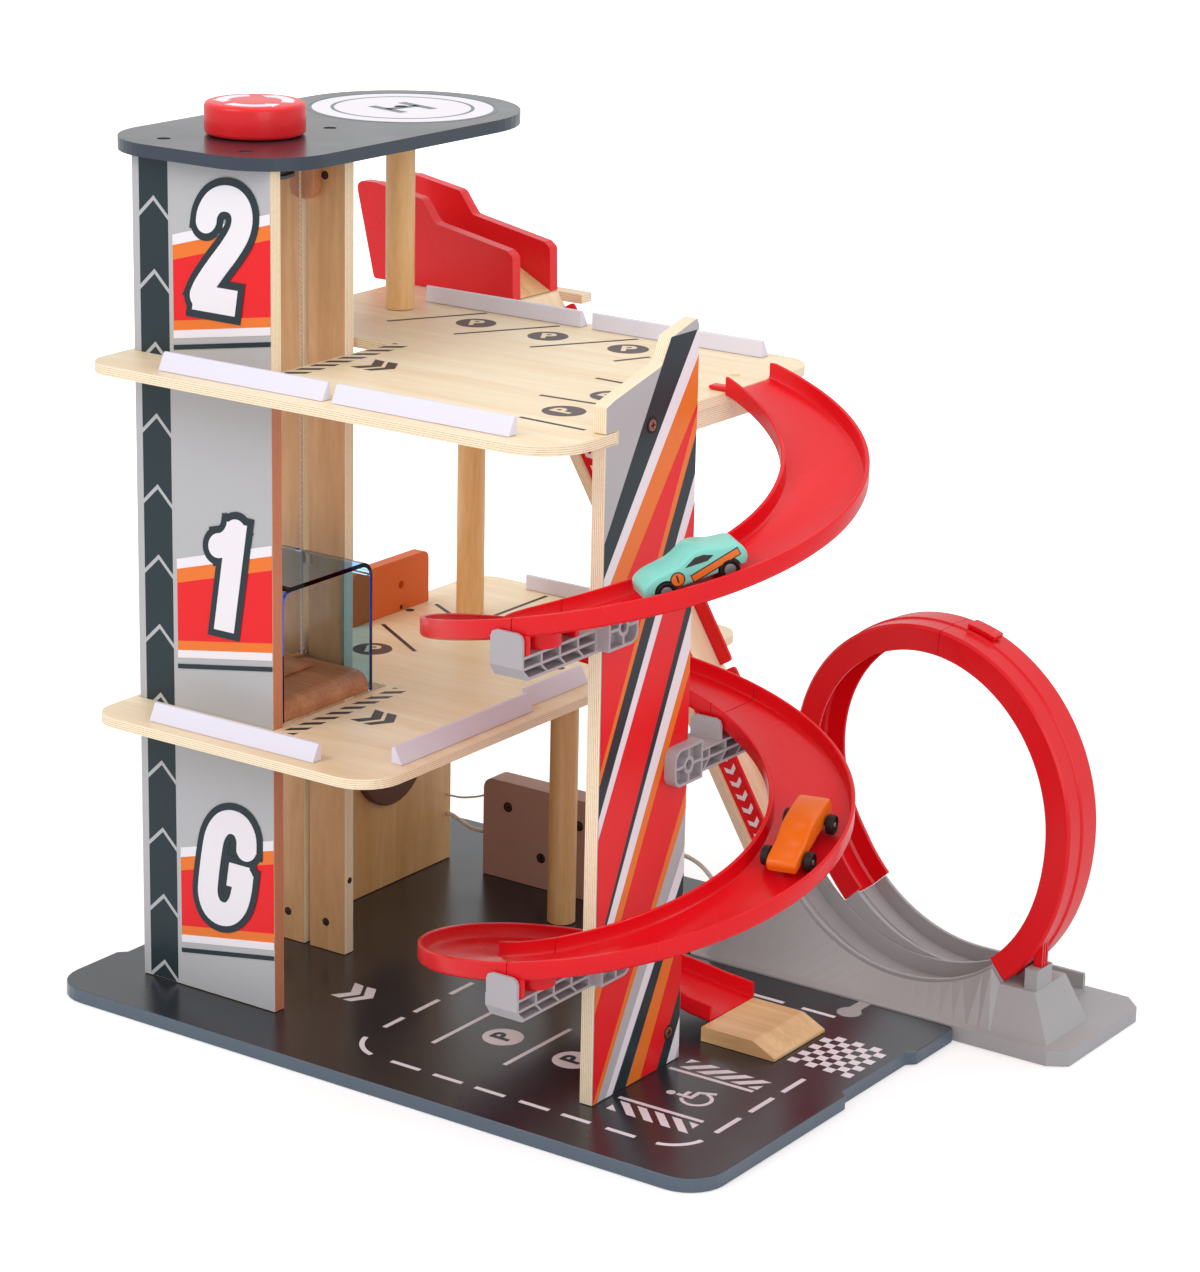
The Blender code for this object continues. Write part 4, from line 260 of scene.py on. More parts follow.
def wood_grain_group():
    """Long streaks and fine fibres along the first axis of the vector it gets."""
    tree, given, out = new_group(
        "wood_grain",
        [("Vector", "Vector", None), ("Light", "Color", BIRCH_LIGHT), ("Dark", "Color", BIRCH_DARK),
         ("Fibre", "Float", 0.5)],
        [("Color", "Color"), ("Height", "Float")],
    )
    streaks = noise(tree, given["Vector"], 1.0, 5.0, Roughness=0.6, Distortion=0.7)
    stretch = add_node(tree, "Mapping", {"Vector": given["Vector"], "Scale": (3.0, 9.0, 9.0)})
    fibres = noise(tree, stretch.outputs[0], 1.0, 3.0, Roughness=0.7)
    spread = ranged(tree, streaks, 0.34, 0.68)
    fine = ranged(tree, fibres, 0.35, 0.7, -1.0, 1.0)
    share = math_node(tree, "MULTIPLY", fine, given["Fibre"])
    factor = math_node(tree, "ADD", spread, math_node(tree, "MULTIPLY", share, 0.6))
    clamp = add_node(tree, "Clamp", {"Value": factor}).outputs[0]
    tree.links.new(mix_colour(tree, clamp, given["Dark"], given["Light"]), out["Color"])
    tree.links.new(fibres, out["Height"])
    return tree


def ply_layer_group():
    """Glue lines and cross veneers over a sheet's thickness, given as 0 to 1."""
    tree, given, out = new_group(
        "ply_layers",
        [("Across", "Float", 0.5), ("Layers", "Float", 5.0), ("Light", "Color", BIRCH_LIGHT),
         ("Dark", "Color", BIRCH_GLUE), ("Vector", "Vector", None)],
        [("Color", "Color"), ("Height", "Float")],
    )
    wobble = math_node(tree, "SUBTRACT", noise(tree, given["Vector"], 30.0, 2.0), 0.5)
    layer = math_node(tree, "MULTIPLY", given["Across"], given["Layers"])
    place = math_node(tree, "ADD", layer, math_node(tree, "MULTIPLY", wobble, 0.12))
    wave = math_node(tree, "SINE", math_node(tree, "MULTIPLY", place, math.pi))
    band = ranged(tree, math_node(tree, "ABSOLUTE", wave), 0.1, 0.62,
                  interpolation_type="SMOOTHSTEP")
    fleck = ranged(tree, noise(tree, given["Vector"], 420.0, 2.0), 0.4, 0.75, 0.0, 0.5)
    dark = math_node(tree, "SUBTRACT", 1.0, band)
    factor = math_node(tree, "MULTIPLY", dark, math_node(tree, "ADD", fleck, 0.6))
    tree.links.new(mix_colour(tree, factor, given["Light"], given["Dark"]), out["Color"])
    tree.links.new(band, out["Height"])
    return tree


def surface_group():
    """Lacquer or moulding texture: fine bumps, with a slow change of gloss."""
    tree, given, out = new_group(
        "surface",
        [("Vector", "Vector", None), ("Scale", "Float", 600.0), ("Rough", "Float", 0.35),
         ("Spread", "Float", 0.08)],
        [("Height", "Float"), ("Roughness", "Float"), ("Tone", "Float")],
    )
    fine = noise(tree, given["Vector"], given["Scale"], 2.0)
    slow = noise(tree, given["Vector"], 14.0, 3.0)
    change = math_node(tree, "MULTIPLY", math_node(tree, "SUBTRACT", slow, 0.5),
                       math_node(tree, "MULTIPLY", given["Spread"], 2.0))
    tree.links.new(fine, out["Height"])
    tree.links.new(math_node(tree, "ADD", given["Rough"], change), out["Roughness"])
    tree.links.new(slow, out["Tone"])
    return tree


WOOD_GRAIN = wood_grain_group()
PLY_LAYERS = ply_layer_group()
SURFACE = surface_group()


def new_material(name):
    """A material with its tree, its shader and its coordinates."""
    material = bpy.data.materials.new(name)
    material.use_nodes = True
    tree = material.node_tree
    coords = tree.nodes.new("ShaderNodeTexCoord")
    return material, tree, tree.nodes["Principled BSDF"], coords.outputs


def bump(tree, shader, height, strength, distance):
    """Fine relief from a height."""
    made = add_node(tree, "Bump", {"Height": height, "Strength": strength, "Distance": distance})
    tree.links.new(made.outputs[0], shader.inputs["Normal"])


def set_coat(shader, weight, rough):
    """A clear lacquer coat over the surface."""
    shader.inputs["Coat Weight"].default_value = weight
    shader.inputs["Coat Roughness"].default_value = rough


def finish_material(name, colour, rough, scale=600.0, coat=0.0, tone=0.06):
    """Paint, plastic or ink: a plain colour with a little tone, gloss change and fine bumps."""
    material, tree, shader, coords = new_material(name)
    surface = use_group(tree, SURFACE, Vector=coords["Object"], Scale=scale, Rough=rough, Spread=0.08)
    darker = tuple(channel * (1.0 - 2.2 * tone) for channel in colour[:3]) + (1.0,)
    tree.links.new(mix_colour(tree, surface["Tone"], darker, colour), shader.inputs["Base Color"])
    tree.links.new(surface["Roughness"], shader.inputs["Roughness"])
    shader.inputs["Specular IOR Level"].default_value = 0.3
    set_coat(shader, coat, 0.12)
    bump(tree, shader, surface["Height"], 0.25, 0.04 * MM)
    return material


def wood_material(name, light, dark, stretch):
    """Solid wood whose grain runs along the axis with the smallest stretch."""
    material, tree, shader, coords = new_material(name)
    mapping = add_node(tree, "Mapping", {"Vector": coords["Object"], "Scale": stretch})
    grain = use_group(tree, WOOD_GRAIN, Vector=mapping.outputs[0], Light=light, Dark=dark, Fibre=0.5)
    tree.links.new(grain["Color"], shader.inputs["Base Color"])
    shader.inputs["Roughness"].default_value = 0.42
    set_coat(shader, 0.12, 0.3)
    bump(tree, shader, grain["Height"], 0.2, 0.05 * MM)
    return material


def plywood_material(name, axis, start, thickness, layers, stretch, light=BIRCH_LIGHT,
                     dark=BIRCH_DARK, warm_below=None):
    """Wood faces with the layers showing on the edges; axis is the sheet's thickness. Edges below an
    optional level turn reddish brown: painted shade.
    """
    material, tree, shader, coords = new_material(name)
    mapping = add_node(tree, "Mapping", {"Vector": coords["Object"], "Scale": stretch})
    grain = use_group(tree, WOOD_GRAIN, Vector=mapping.outputs[0], Light=light, Dark=dark, Fibre=0.35)
    depth = math_node(tree, "SUBTRACT", along_axis(tree, coords["Object"], axis), start)
    across = math_node(tree, "DIVIDE", depth, thickness)
    pale, glue = BIRCH_LIGHT, BIRCH_GLUE
    # Below the given level the edge layers blend to reddish brown: painted shade on the lower storeys'
    # edges
    if warm_below is not None:
        level = along_axis(tree, coords["Object"], 2)
        unshaded = ranged(tree, level, warm_below, warm_below + 2.0 * MM)
        pale, glue = mix_colour(tree, unshaded, SHADED_PLY_EDGE, pale), mix_colour(tree, unshaded, SHADED_PLY_GLUE, glue)
    edge = use_group(tree, PLY_LAYERS, Across=across, Layers=layers, Light=pale, Dark=glue,
                     Vector=coords["Object"])
    mask = ranged(tree, facing(tree, coords, axis), 0.55, 0.8)
    tree.links.new(mix_colour(tree, mask, edge["Color"], grain["Color"]), shader.inputs["Base Color"])
    shader.inputs["Roughness"].default_value = 0.4
    set_coat(shader, 0.1, 0.3)
    bump(tree, shader, grain["Height"], 0.15, 0.05 * MM)
    return material


def ramp_ply():
    """The sloping deck's plywood: its thickness runs across the slope."""
    material, tree, shader, coords = new_material("ramp_ply")
    level = add_node(tree, "Mapping", {"Vector": coords["Object"], "Rotation": (0.0, -RAMP_SLOPE, 0.0)})
    stretch = add_node(tree, "Mapping", {"Vector": level.outputs[0], "Scale": (6, 60, 60)})
    grain = use_group(tree, WOOD_GRAIN, Vector=stretch.outputs[0], Light=BIRCH_LIGHT,
                      Dark=BIRCH_DARK, Fibre=0.35)
    across = math_node(tree, "DIVIDE", along_axis(tree, level.outputs[0], 2), RAMP_PLY * MM)
    edge = use_group(tree, PLY_LAYERS, Across=across, Layers=5.0, Light=BIRCH_LIGHT,
                     Dark=BIRCH_GLUE, Vector=coords["Object"])
    mask = facing(tree, coords, 1)
    tree.links.new(mix_colour(tree, mask, grain["Color"], edge["Color"]),
                   shader.inputs["Base Color"])
    shader.inputs["Roughness"].default_value = 0.42
    bump(tree, shader, grain["Height"], 0.15, 0.05 * MM)
    return material


def charcoal_material(name, edge):
    """Dark satin paint that reads bluer along the sheet's edges."""
    material, tree, shader, coords = new_material(name)
    surface = use_group(tree, SURFACE, Vector=coords["Object"], Scale=420.0, Rough=0.24, Spread=0.1)
    # The sides take the given edge colour; the roof's copy is darker as painted shade
    side = ranged(tree, facing(tree, coords, 2), 0.98, 0.6)
    tree.links.new(mix_colour(tree, side, CHARCOAL, edge), shader.inputs["Base Color"])
    tree.links.new(surface["Roughness"], shader.inputs["Roughness"])
    set_coat(shader, 0.2, 0.25)
    bump(tree, shader, surface["Height"], 0.25, 0.05 * MM)
    return material


def acrylic_material():
    """Clear blue sheet: faint through its walls, deeper on top and dark along the open rim."""
    material, tree, shader, coords = new_material("blue_acrylic")
    over = ranged(tree, facing(tree, coords, 2), 0.4, 0.9)
    rim = ranged(tree, facing(tree, coords, 0), 0.4, 0.8)
    end = ranged(tree, along_axis(tree, coords["Object"], 0), -130.0 * MM, -126.5 * MM)
    wall = mix_colour(tree, end, srgb(236, 238, 240), srgb(164, 218, 250))
    wall = mix_colour(tree, over, wall, srgb(176, 214, 252))
    tree.links.new(mix_colour(tree, rim, wall, srgb(14, 20, 96)), shader.inputs["Base Color"])
    shader.inputs["Transmission Weight"].default_value = 1.0
    shader.inputs["IOR"].default_value = 1.2
    surface = use_group(tree, SURFACE, Vector=coords["Object"], Scale=60.0, Rough=0.03, Spread=0.01)
    tree.links.new(surface["Roughness"], shader.inputs["Roughness"])
    return material


def metal_material(name, colour):
    """Plated screw metal with fine bumps."""
    material, tree, shader, coords = new_material(name)
    surface = use_group(tree, SURFACE, Vector=coords["Object"], Scale=900.0, Rough=0.38, Spread=0.1)
    shader.inputs["Base Color"].default_value = colour
    shader.inputs["Metallic"].default_value = 1.0
    tree.links.new(surface["Roughness"], shader.inputs["Roughness"])
    bump(tree, shader, surface["Height"], 0.3, 0.04 * MM)
    return material


def cord_material():
    """Twisted yarn: slanting strands on the tube, by object coordinates."""
    material, tree, shader, coords = new_material("twisted_cord")
    mapping = add_node(tree, "Mapping", {"Vector": coords["Object"], "Rotation": (0.6, 0.6, 0.0)})
    strands = add_node(tree, "TexWave", {"Vector": mapping.outputs[0], "Scale": 240.0,
                                         "Distortion": 0.5, "Detail": 1.0}).outputs[1]
    colour = mix_colour(tree, strands, srgb(196, 184, 164), srgb(238, 232, 220))
    tree.links.new(colour, shader.inputs["Base Color"])
    shader.inputs["Roughness"].default_value = 0.85
    bump(tree, shader, strands, 0.6, 0.2 * MM)
    return material


MATERIALS = {
    "charcoal_board": charcoal_material("charcoal_board", BOARD_EDGE),
    # The roof uses the same charcoal paint with a darker edge colour: painted shade on its rim
    "charcoal_roof_shaded_edge": charcoal_material("charcoal_roof_shaded_edge", ROOF_EDGE_SHADED),
    "red_paint": finish_material("red_paint", RED_PAINT, 0.28, coat=0.1, scale=380.0),
    "red_plastic": finish_material("red_plastic", RED_PLASTIC, 0.26, tone=0.03),
    "grey_plastic": finish_material("grey_plastic", GREY_PLASTIC, 0.48, scale=900.0),
    "base_grey": finish_material("base_grey", BASE_GREY, 0.45, scale=900.0),
    "kerb_white": finish_material("kerb_white", KERB_WHITE, 0.42, scale=300.0, tone=0.015),
    "service_orange": finish_material("service_orange", srgb(226, 108, 48), 0.42),
    "station_mauve": finish_material("station_mauve", srgb(198, 156, 144), 0.5, tone=0.04),
    "disc_brown": finish_material("disc_brown", srgb(112, 78, 66), 0.5),
    "salmon": wood_material("salmon_wood", srgb(214, 150, 112), srgb(186, 120, 84), (60, 60, 8)),
    "acrylic": acrylic_material(),
    "steel": metal_material("screw_steel", srgb(176, 134, 118)),
    "dark_steel": metal_material("screw_dark", srgb(96, 84, 80)),
    # Dark brown for screw seats, cross slots and holes: painted shade in the recesses
    "painted_recess_shade": finish_material("painted_recess_shade", srgb(52, 36, 30), 0.7),
    "cord": cord_material(),
    "hose": finish_material("hose_white", srgb(232, 226, 216), 0.4),
    "beech_up": wood_material("beech_upright", BEECH_LIGHT, BEECH_DARK, (70, 70, 6)),
    "beech_along": wood_material("beech_along", BEECH_LIGHT, BEECH_DARK, (8, 70, 70)),
    "cabin_wood": wood_material("cabin_wood", srgb(196, 136, 92), srgb(166, 104, 64), (8, 70, 70)),
    "birch_block": wood_material("birch_block", srgb(236, 200, 150), srgb(216, 172, 118), (8, 80, 80)),
    "ink_grey": finish_material("ink_grey", PRINT_GREY, 0.36, coat=0.1, tone=0.02),
    "ink_petrol": finish_material("ink_petrol", PRINT_PETROL, 0.36, coat=0.1),
    "ink_orange": finish_material("ink_orange", PRINT_ORANGE, 0.36, coat=0.1, tone=0.02),
    "ink_red": finish_material("ink_red", PRINT_RED, 0.36, coat=0.1, tone=0.02),
    "ink_white": finish_material("ink_white", PRINT_WHITE, 0.36, coat=0.1, tone=0.01),
    "ink_road": finish_material("ink_road", ROAD_BROWN, 0.42),
    "ink_sign": finish_material("ink_sign", srgb(88, 74, 72), 0.42),
    "ink_wood": finish_material("ink_wood", srgb(240, 218, 184), 0.42, tone=0.03),
    "ink_slate": finish_material("ink_slate", srgb(122, 132, 138), 0.42),
    "turquoise": finish_material("turquoise", srgb(132, 214, 200), 0.28, coat=0.2, tone=0.02),
    "car_orange": finish_material("car_orange", srgb(238, 110, 16), 0.28, coat=0.1, tone=0.02),
    "tyre": finish_material("tyre_black", srgb(34, 30, 30), 0.5),
    "hub": finish_material("hub_grey", srgb(128, 126, 128), 0.3),
    "window": finish_material("window_dark", srgb(40, 30, 34), 0.15, coat=0.4),
    "drum": finish_material("drum_grey", srgb(96, 96, 98), 0.5),
}


# Small mesh helpers


def link_piece(name, mesh, material, body="garage"):
    """Puts a finished mesh in the scene, with its material, on its body."""
    piece = bpy.data.objects.new(name, mesh)
    bpy.context.scene.collection.objects.link(piece)
    mesh.materials.clear()
    mesh.materials.append(MATERIALS[material])
    if body:
        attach(piece, body)
    return piece


def close_mesh(name, bm, smooth=None):
    """The bmesh as a mesh whose faces point outwards, smooth up to an angle if given."""
    bmesh.ops.recalc_face_normals(bm, faces=bm.faces)
    if bm.calc_volume(signed=True) < 0:
        bmesh.ops.reverse_faces(bm, faces=bm.faces)
    mesh = bpy.data.meshes.new(name)
    bm.to_mesh(mesh)
    bm.free()
    if smooth:
        mesh.shade_smooth()
        mesh.set_sharp_from_angle(angle=math.radians(smooth))
    return mesh


def only_verts(geom):
    """The vertices among an operator's results."""
    return [item for item in geom if isinstance(item, bmesh.types.BMVert)]


def turn_up(face):
    """Turns a flat face so that its normal points up its print plane."""
    face.normal_update()
    if face.normal.z < 0:
        face.normal_flip()


def flat_face(bm, outline, level):
    """A flat face at a level, from points in millimetres."""
    face = bm.faces.new([bm.verts.new((x * MM, y * MM, level)) for x, y in outline])
    turn_up(face)
    return face


def raise_face(bm, face, height):
    """Gives a flat face a thickness along its own normal."""
    direction = face.normal.copy()
    made = bmesh.ops.extrude_face_region(bm, geom=[face])["geom"]
    bmesh.ops.translate(bm, vec=direction * height, verts=only_verts(made))


def cuboid(bm, middle, size):
    """A box given by its middle and size in millimetres."""
    verts = bmesh.ops.create_cube(bm, size=1.0)["verts"]
    bmesh.ops.scale(bm, vec=Vector(size) * MM, verts=verts)
    bmesh.ops.translate(bm, vec=Vector(middle) * MM, verts=verts)


def soften(bm, edges, width, segments=2):
    """Rounds edges by a width in millimetres."""
    bmesh.ops.bevel(bm, geom=edges, offset=width * MM, segments=segments, profile=0.5, affect="EDGES",
                    material=-1)


def plates(name, place, outlines, material, lift=0.0, body="garage", clip=(), thickness=INK):
    """Thin printed shapes: outlines in the print's own plane, in millimetres."""
    bm = bmesh.new()
    for outline in outlines:
        flat_face(bm, outline, lift)
    for co, normal in clip:
        geom = [*bm.verts, *bm.edges, *bm.faces]
        bmesh.ops.bisect_plane(bm, geom=geom, plane_co=Vector(co) * MM, plane_no=normal,
                               clear_outer=True)
    for face in list(bm.faces):
        turn_up(face)
        raise_face(bm, face, thickness)
    bmesh.ops.transform(bm, matrix=place, verts=bm.verts)
    link_piece(name, close_mesh(name, bm), material, body)


def ring_plate(name, place, centre, outer, inner, material, lift=0.0, body="garage", steps=72,
               start=0.0, sweep=360.0):
    """A printed ring or part of one, made by turning a short line."""
    bm = bmesh.new()
    ends = [bm.verts.new((radius * MM, 0.0, lift)) for radius in (inner, outer)]
    edge = bm.edges.new(ends)
    bmesh.ops.rotate(bm, cent=(0, 0, 0), matrix=Matrix.Rotation(math.radians(start), 3, "Z"),
                     verts=bm.verts)
    bmesh.ops.spin(bm, geom=[*ends, edge], cent=(0, 0, 0), axis=(0, 0, 1),
                   angle=math.radians(sweep), steps=steps, use_merge=sweep > 359.0)
    bmesh.ops.remove_doubles(bm, verts=bm.verts, dist=0.001 * MM)
    bmesh.ops.translate(bm, vec=(centre[0] * MM, centre[1] * MM, 0.0), verts=bm.verts)
    made = bmesh.ops.extrude_face_region(bm, geom=list(bm.faces))["geom"]
    bmesh.ops.translate(bm, vec=(0.0, 0.0, INK), verts=only_verts(made))
    bmesh.ops.transform(bm, matrix=place, verts=bm.verts)
    link_piece(name, close_mesh(name, bm), material, body)


def circle(x, y, radius, steps=40):
    """The outline of a disc."""
    turns = [math.tau * step / steps for step in range(steps)]
    return [(x + radius * math.cos(t), y + radius * math.sin(t)) for t in turns]


def bar(x1, y1, x2, y2, width):
    """The outline of a straight stroke between two points."""
    along = Vector((x2 - x1, y2 - y1)).normalized() * width / 2
    nx, ny = -along.y, along.x
    return [(x1 + nx, y1 + ny), (x1 - nx, y1 - ny), (x2 - nx, y2 - ny), (x2 + nx, y2 + ny)]


def stroke(name, place, routes, width, material, lift):
    """A drawn line of even width: bars with round joints along each route, in millimetres."""
    bm = bmesh.new()
    level = lift
    for route in routes:
        shapes = [bar(*a, *b, width) for a, b in zip(route, route[1:])]
        shapes += [circle(x, y, width / 2, 32) for x, y in route[1:-1]]
        for outline in shapes:
            raise_face(bm, flat_face(bm, outline, level), 2 * INK)
            level += 0.002 * MM
    bmesh.ops.transform(bm, matrix=place, verts=bm.verts)
    link_piece(name, close_mesh(name, bm), material)


def mesh_of(data):
    """A mesh from a curve or text, with its doubles merged."""
    holder = bpy.data.objects.new("holder", data)
    bpy.context.scene.collection.objects.link(holder)
    bpy.context.view_layer.update()
    graph = bpy.context.evaluated_depsgraph_get()
    mesh = bpy.data.meshes.new_from_object(holder.evaluated_get(graph))
    bpy.data.objects.remove(holder)
    bm = bmesh.new()
    bm.from_mesh(mesh)
    bmesh.ops.remove_doubles(bm, verts=bm.verts, dist=0.0005 * MM)
    bm.to_mesh(mesh)
    bm.free()
    return mesh


def letter(name, place, text, centre, size, material, lift, weight=0.0, turn=0.0):
    """A printed letter or numeral, centred on a point of the print's plane."""
    data = bpy.data.curves.new(name, "FONT")
    data.body = text
    data.size = size * MM
    data.offset = weight * MM
    data.extrude = INK / 2
    data.align_x = "CENTER"
    data.align_y = "CENTER"
    data.resolution_u = 4
    mesh = mesh_of(data)
    middle = Matrix.Translation((centre[0] * MM, centre[1] * MM, lift + INK / 2))
    mesh.transform(place @ middle @ Matrix.Rotation(math.radians(turn), 4, "Z"))
    link_piece(name, mesh, material)


def smooth_line(points, between=6):
    """Points on a smooth curve through the given ones."""
    nodes = [Vector(point) for point in points]
    nodes = [2 * nodes[0] - nodes[1], *nodes, 2 * nodes[-1] - nodes[-2]]
    line = []
    for a, b, c, d in zip(nodes, nodes[1:], nodes[2:], nodes[3:]):
        for step in range(between):
            t = step / between
            cubic = (3 * b - a - 3 * c + d) * t**3 + (2 * a - 5 * b + 4 * c - d) * t**2
            line.append((cubic + (c - a) * t + 2 * b) / 2)
    line.append(nodes[-2])
    return line


def turned(name, profile, place, material, body="garage", steps=24):
    """A piece turned about its own Z axis from (radius, height) points in millimetres."""
    bm = bmesh.new()
    points = [bm.verts.new((radius * MM, 0.0, height * MM)) for radius, height in profile]
    edges = [bm.edges.new(pair) for pair in zip(points, points[1:])]
    bmesh.ops.spin(bm, geom=[*points, *edges], cent=(0, 0, 0), axis=(0, 0, 1), angle=math.tau,
                   steps=steps, use_merge=True)
    bmesh.ops.remove_doubles(bm, verts=bm.verts, dist=0.001 * MM)
    bmesh.ops.transform(bm, matrix=place, verts=bm.verts)
    return link_piece(name, close_mesh(name, bm, 35.0), material, body)


def on_top(level):
    """Print plane that faces up, at a level."""
    return Matrix.Translation((0.0, 0.0, level * MM))


def on_front(y):
    """Print plane that faces -Y: its x is the object's X and its y the object's Z."""
    turn = Matrix(((1, 0, 0, 0), (0, 0, -1, 0), (0, 1, 0, 0), (0, 0, 0, 1)))
    return Matrix.Translation((0.0, y * MM, 0.0)) @ turn


def on_right(x):
    """Print plane that faces +X: its x is the object's Y and its y the object's Z."""
    turn = Matrix(((0, 0, 1, 0), (1, 0, 0, 0), (0, 1, 0, 0), (0, 0, 0, 1)))
    return Matrix.Translation((x * MM, 0.0, 0.0)) @ turn


# The solids that stay


FINISHES = (
    ("charcoal_board", 1.2, 3, ("base_board",)),
    ("charcoal_roof_shaded_edge", 1.2, 3, ("roof",)),
    ("kerb_white", 0.5, 3, ("kerb_1_front", "kerb_1_side_front", "kerb_1_side_back", "kerb_1_rear",
                            "kerb_2_front_left", "kerb_2_front_right", "kerb_2_rear_left",
                            "kerb_2_rear_right")),
    ("red_paint", 1.2, 3, ("launcher_wall_front", "launcher_wall_back")),
    ("birch_block", 0.5, 2, ("launcher_deck",)),
    ("birch_block", 1.0, 3, ("finish_block",)),
    ("cabin_wood", 0.8, 2, ("cabin_floor",)),
    ("cabin_wood", 0.4, 2, ("lift_runner",)),
    ("acrylic", 0.5, 2, ("cabin_hood",)),
    ("service_orange", 1.2, 3, ("service_panel",)),
    ("station_mauve", 1.2, 3, ("station_block",)),
    ("disc_brown", 0.0, 0, ("wall_disc",)),
    ("salmon", 0.8, 2, ("cord_guide",)),
    ("red_plastic", 0.5, 2, ("ramp_rail_near", "ramp_rail_far_upper", "ramp_rail_far_lower",
                             "loop_clip")),
    ("grey_plastic", 0.4, 2, ("bracket_upper", "bracket_middle", "bracket_lower")),
    ("base_grey", 0.6, 2, ("loop_base",)),
    ("drum", 0.0, 0, ("lift_spindle",)),
    ("cord", 0.0, 0, ("cord_lead",)),
)


def dress(node, material, bevel=0.0, segments=2):
    """Gives a solid its finish and eases its edges."""
    solid = NODES[node]
    solid.data.materials.clear()
    solid.data.materials.append(MATERIALS[material] if isinstance(material, str) else material)
    if bevel:
        weld = solid.modifiers.new("Weld", "WELD")
        weld.merge_threshold = 0.01 * MM
        edge = solid.modifiers.new("Bevel", "BEVEL")
        edge.width = bevel * MM
        edge.segments = segments
        edge.limit_method = "ANGLE"
        edge.angle_limit = math.radians(40.0)
        edge.use_clamp_overlap = True


def sheet_material(node, axis, layers, stretch, **looks):
    """Plywood for a solid, with its layers across the given axis."""
    low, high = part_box(node)
    return plywood_material(f"{node}_ply", axis, low[axis], high[axis] - low[axis], layers, stretch,
                            **looks)


def dress_solids():
    """Finish and edge easing of the solids that the render shows as they are."""
    upright, flat = (60, 60, 5), (5, 55, 55)
    for node in ("floor_1", "floor_2"):
        dress(node, sheet_material(node, 2, 5.0, flat), bevel=0.7)
    dress("floor_2_underplate", sheet_material("floor_2_underplate", 2, 9.0, (55, 5, 55)), bevel=0.7)
    # Below 0.414 m the panel's ply edges get painted shade
    dress("tower_front_panel", sheet_material("tower_front_panel", 1, 7.0, upright,
                                              warm_below=0.414), bevel=0.5)
    for node in ("tower_back_board_left", "tower_back_board_right"):
        dress(node, sheet_material(node, 1, 7.0, upright, light=BOARD_LIGHT, dark=BOARD_DARK),
              bevel=0.5)
    dress("pillar", sheet_material("pillar", 0, 7.0, upright), bevel=0.5)
    dress("ground_panel", sheet_material("ground_panel", 0, 7.0, upright, light=BEECH_LIGHT,
                                         dark=BEECH_DARK), bevel=0.5)
    dress("ramp_deck", ramp_ply(), bevel=0.4)
    for material, bevel, segments, nodes in FINISHES:
        for node in nodes:
            dress(node, material, bevel, segments)


# Prints on the floors, the board and the roof


def parking_disc(name, place, x, y, disc, letter_ink, size, weight, turn):
    """A filled disc with the parking letter."""
    plates(f"{name}_disc", place, [circle(x, y, BAY_RADIUS)], disc)
    letter(f"{name}_letter", place, "P", (x, y), size, letter_ink, INK, weight=weight, turn=turn)


def hatch_strip(x1, x2, y1):
    """Eight slanting bars between two lines, with the cut ends of the next ones."""
    pitch, width, lean, length = 13.4, 5.9, 9.4, 94.0
    outlines = []
    y = y1
    while y < y1 + length:
        outlines.append([(x1, y), (x2, y + lean), (x2, y + lean + width), (x1, y + width)])
        y += pitch
    low, high = y1 - 3.3, y1 + 110.2
    outlines.append([(x1 + (x2 - x1) * 0.45, low), (x2, low), (x2, low + 5.2)])
    outlines.append([(x1, high - 3.0), (x1 + (x2 - x1) * 0.3, high), (x1, high)])
    return outlines


def arrow_pair(x, y):
    """Two arrowheads one behind the other, which point along X."""
    first = [(-5.7, -12.1), (1.4, -12.6), (9.0, -0.5), (2.0, 11.9), (-5.9, 12.8), (2.1, -1.6)]
    second = [(5.2, -13.4), (11.1, -13.0), (19.2, -0.1), (11.8, 12.5), (4.6, 12.1), (12.4, -1.3)]
    return [[(x + a, y + b) for a, b in shape] for shape in (first, second)]


def deck_prints():
    """Hatches, arrows, bay lines and parking discs on the two floors."""
    first, second = on_top(FLOOR_1_TOP), on_top(FLOOR_2_TOP)
    plates("floor_1_hatch", first, hatch_strip(-97.0, -86.8, -154.3), "ink_road")
    plates("floor_1_arrows", first, arrow_pair(-73.0, -100.0), "ink_road")
    lines = ((-143, 122, -143, 186), (-190.7, 121.9, -161.8, 105.3), (-189.5, 61.3, -134.9, 26.1))
    plates("floor_1_lines", first, [bar(*line, BAY_LINE) for line in lines], "ink_road")
    parking_disc("floor_1_bay", first, -160, 13, "ink_sign", "ink_wood", 19.5, 0.6, 30)
    plates("floor_2_hatch", second, hatch_strip(-101.0, -89.5, -151.0), "ink_road")
    plates("floor_2_arrows", second, arrow_pair(-75.8, -97.0), "ink_road")
    lines = ((-145, 8, -111, 69), (-89, 4.6, -52, 67.5), (-30, 5, 8.3, 67.8), (32.6, 6.3, 43.3, 30),
             (50.8, -38.8, 70.8, -39.3), (51, -96.6, 90.5, -93.4), (74.5, -148.6, 121.3, -150.3))
    plates("floor_2_lines", second, [bar(*line, BAY_LINE) for line in lines], "ink_road")
    discs = ((-98, 40, 30), (-40, 38, 30), (20, 40, 30), (85.0, -71.5, 90), (85.4, -120.4, 90))
    for index, (x, y, turn) in enumerate(discs):
        parking_disc(f"floor_2_bay_{index}", second, x, y, "ink_sign", "ink_wood", 19.5, 0.6, turn)
    plates("wood_plugs_1", first, [circle(-195.8, 99.3, PLUG_RADIUS), circle(-38.7, 55.8, PLUG_RADIUS)],
           "ink_road")
    plates("wood_plug_2", second, [circle(111, 22.4, PLUG_RADIUS)], "beech_along")


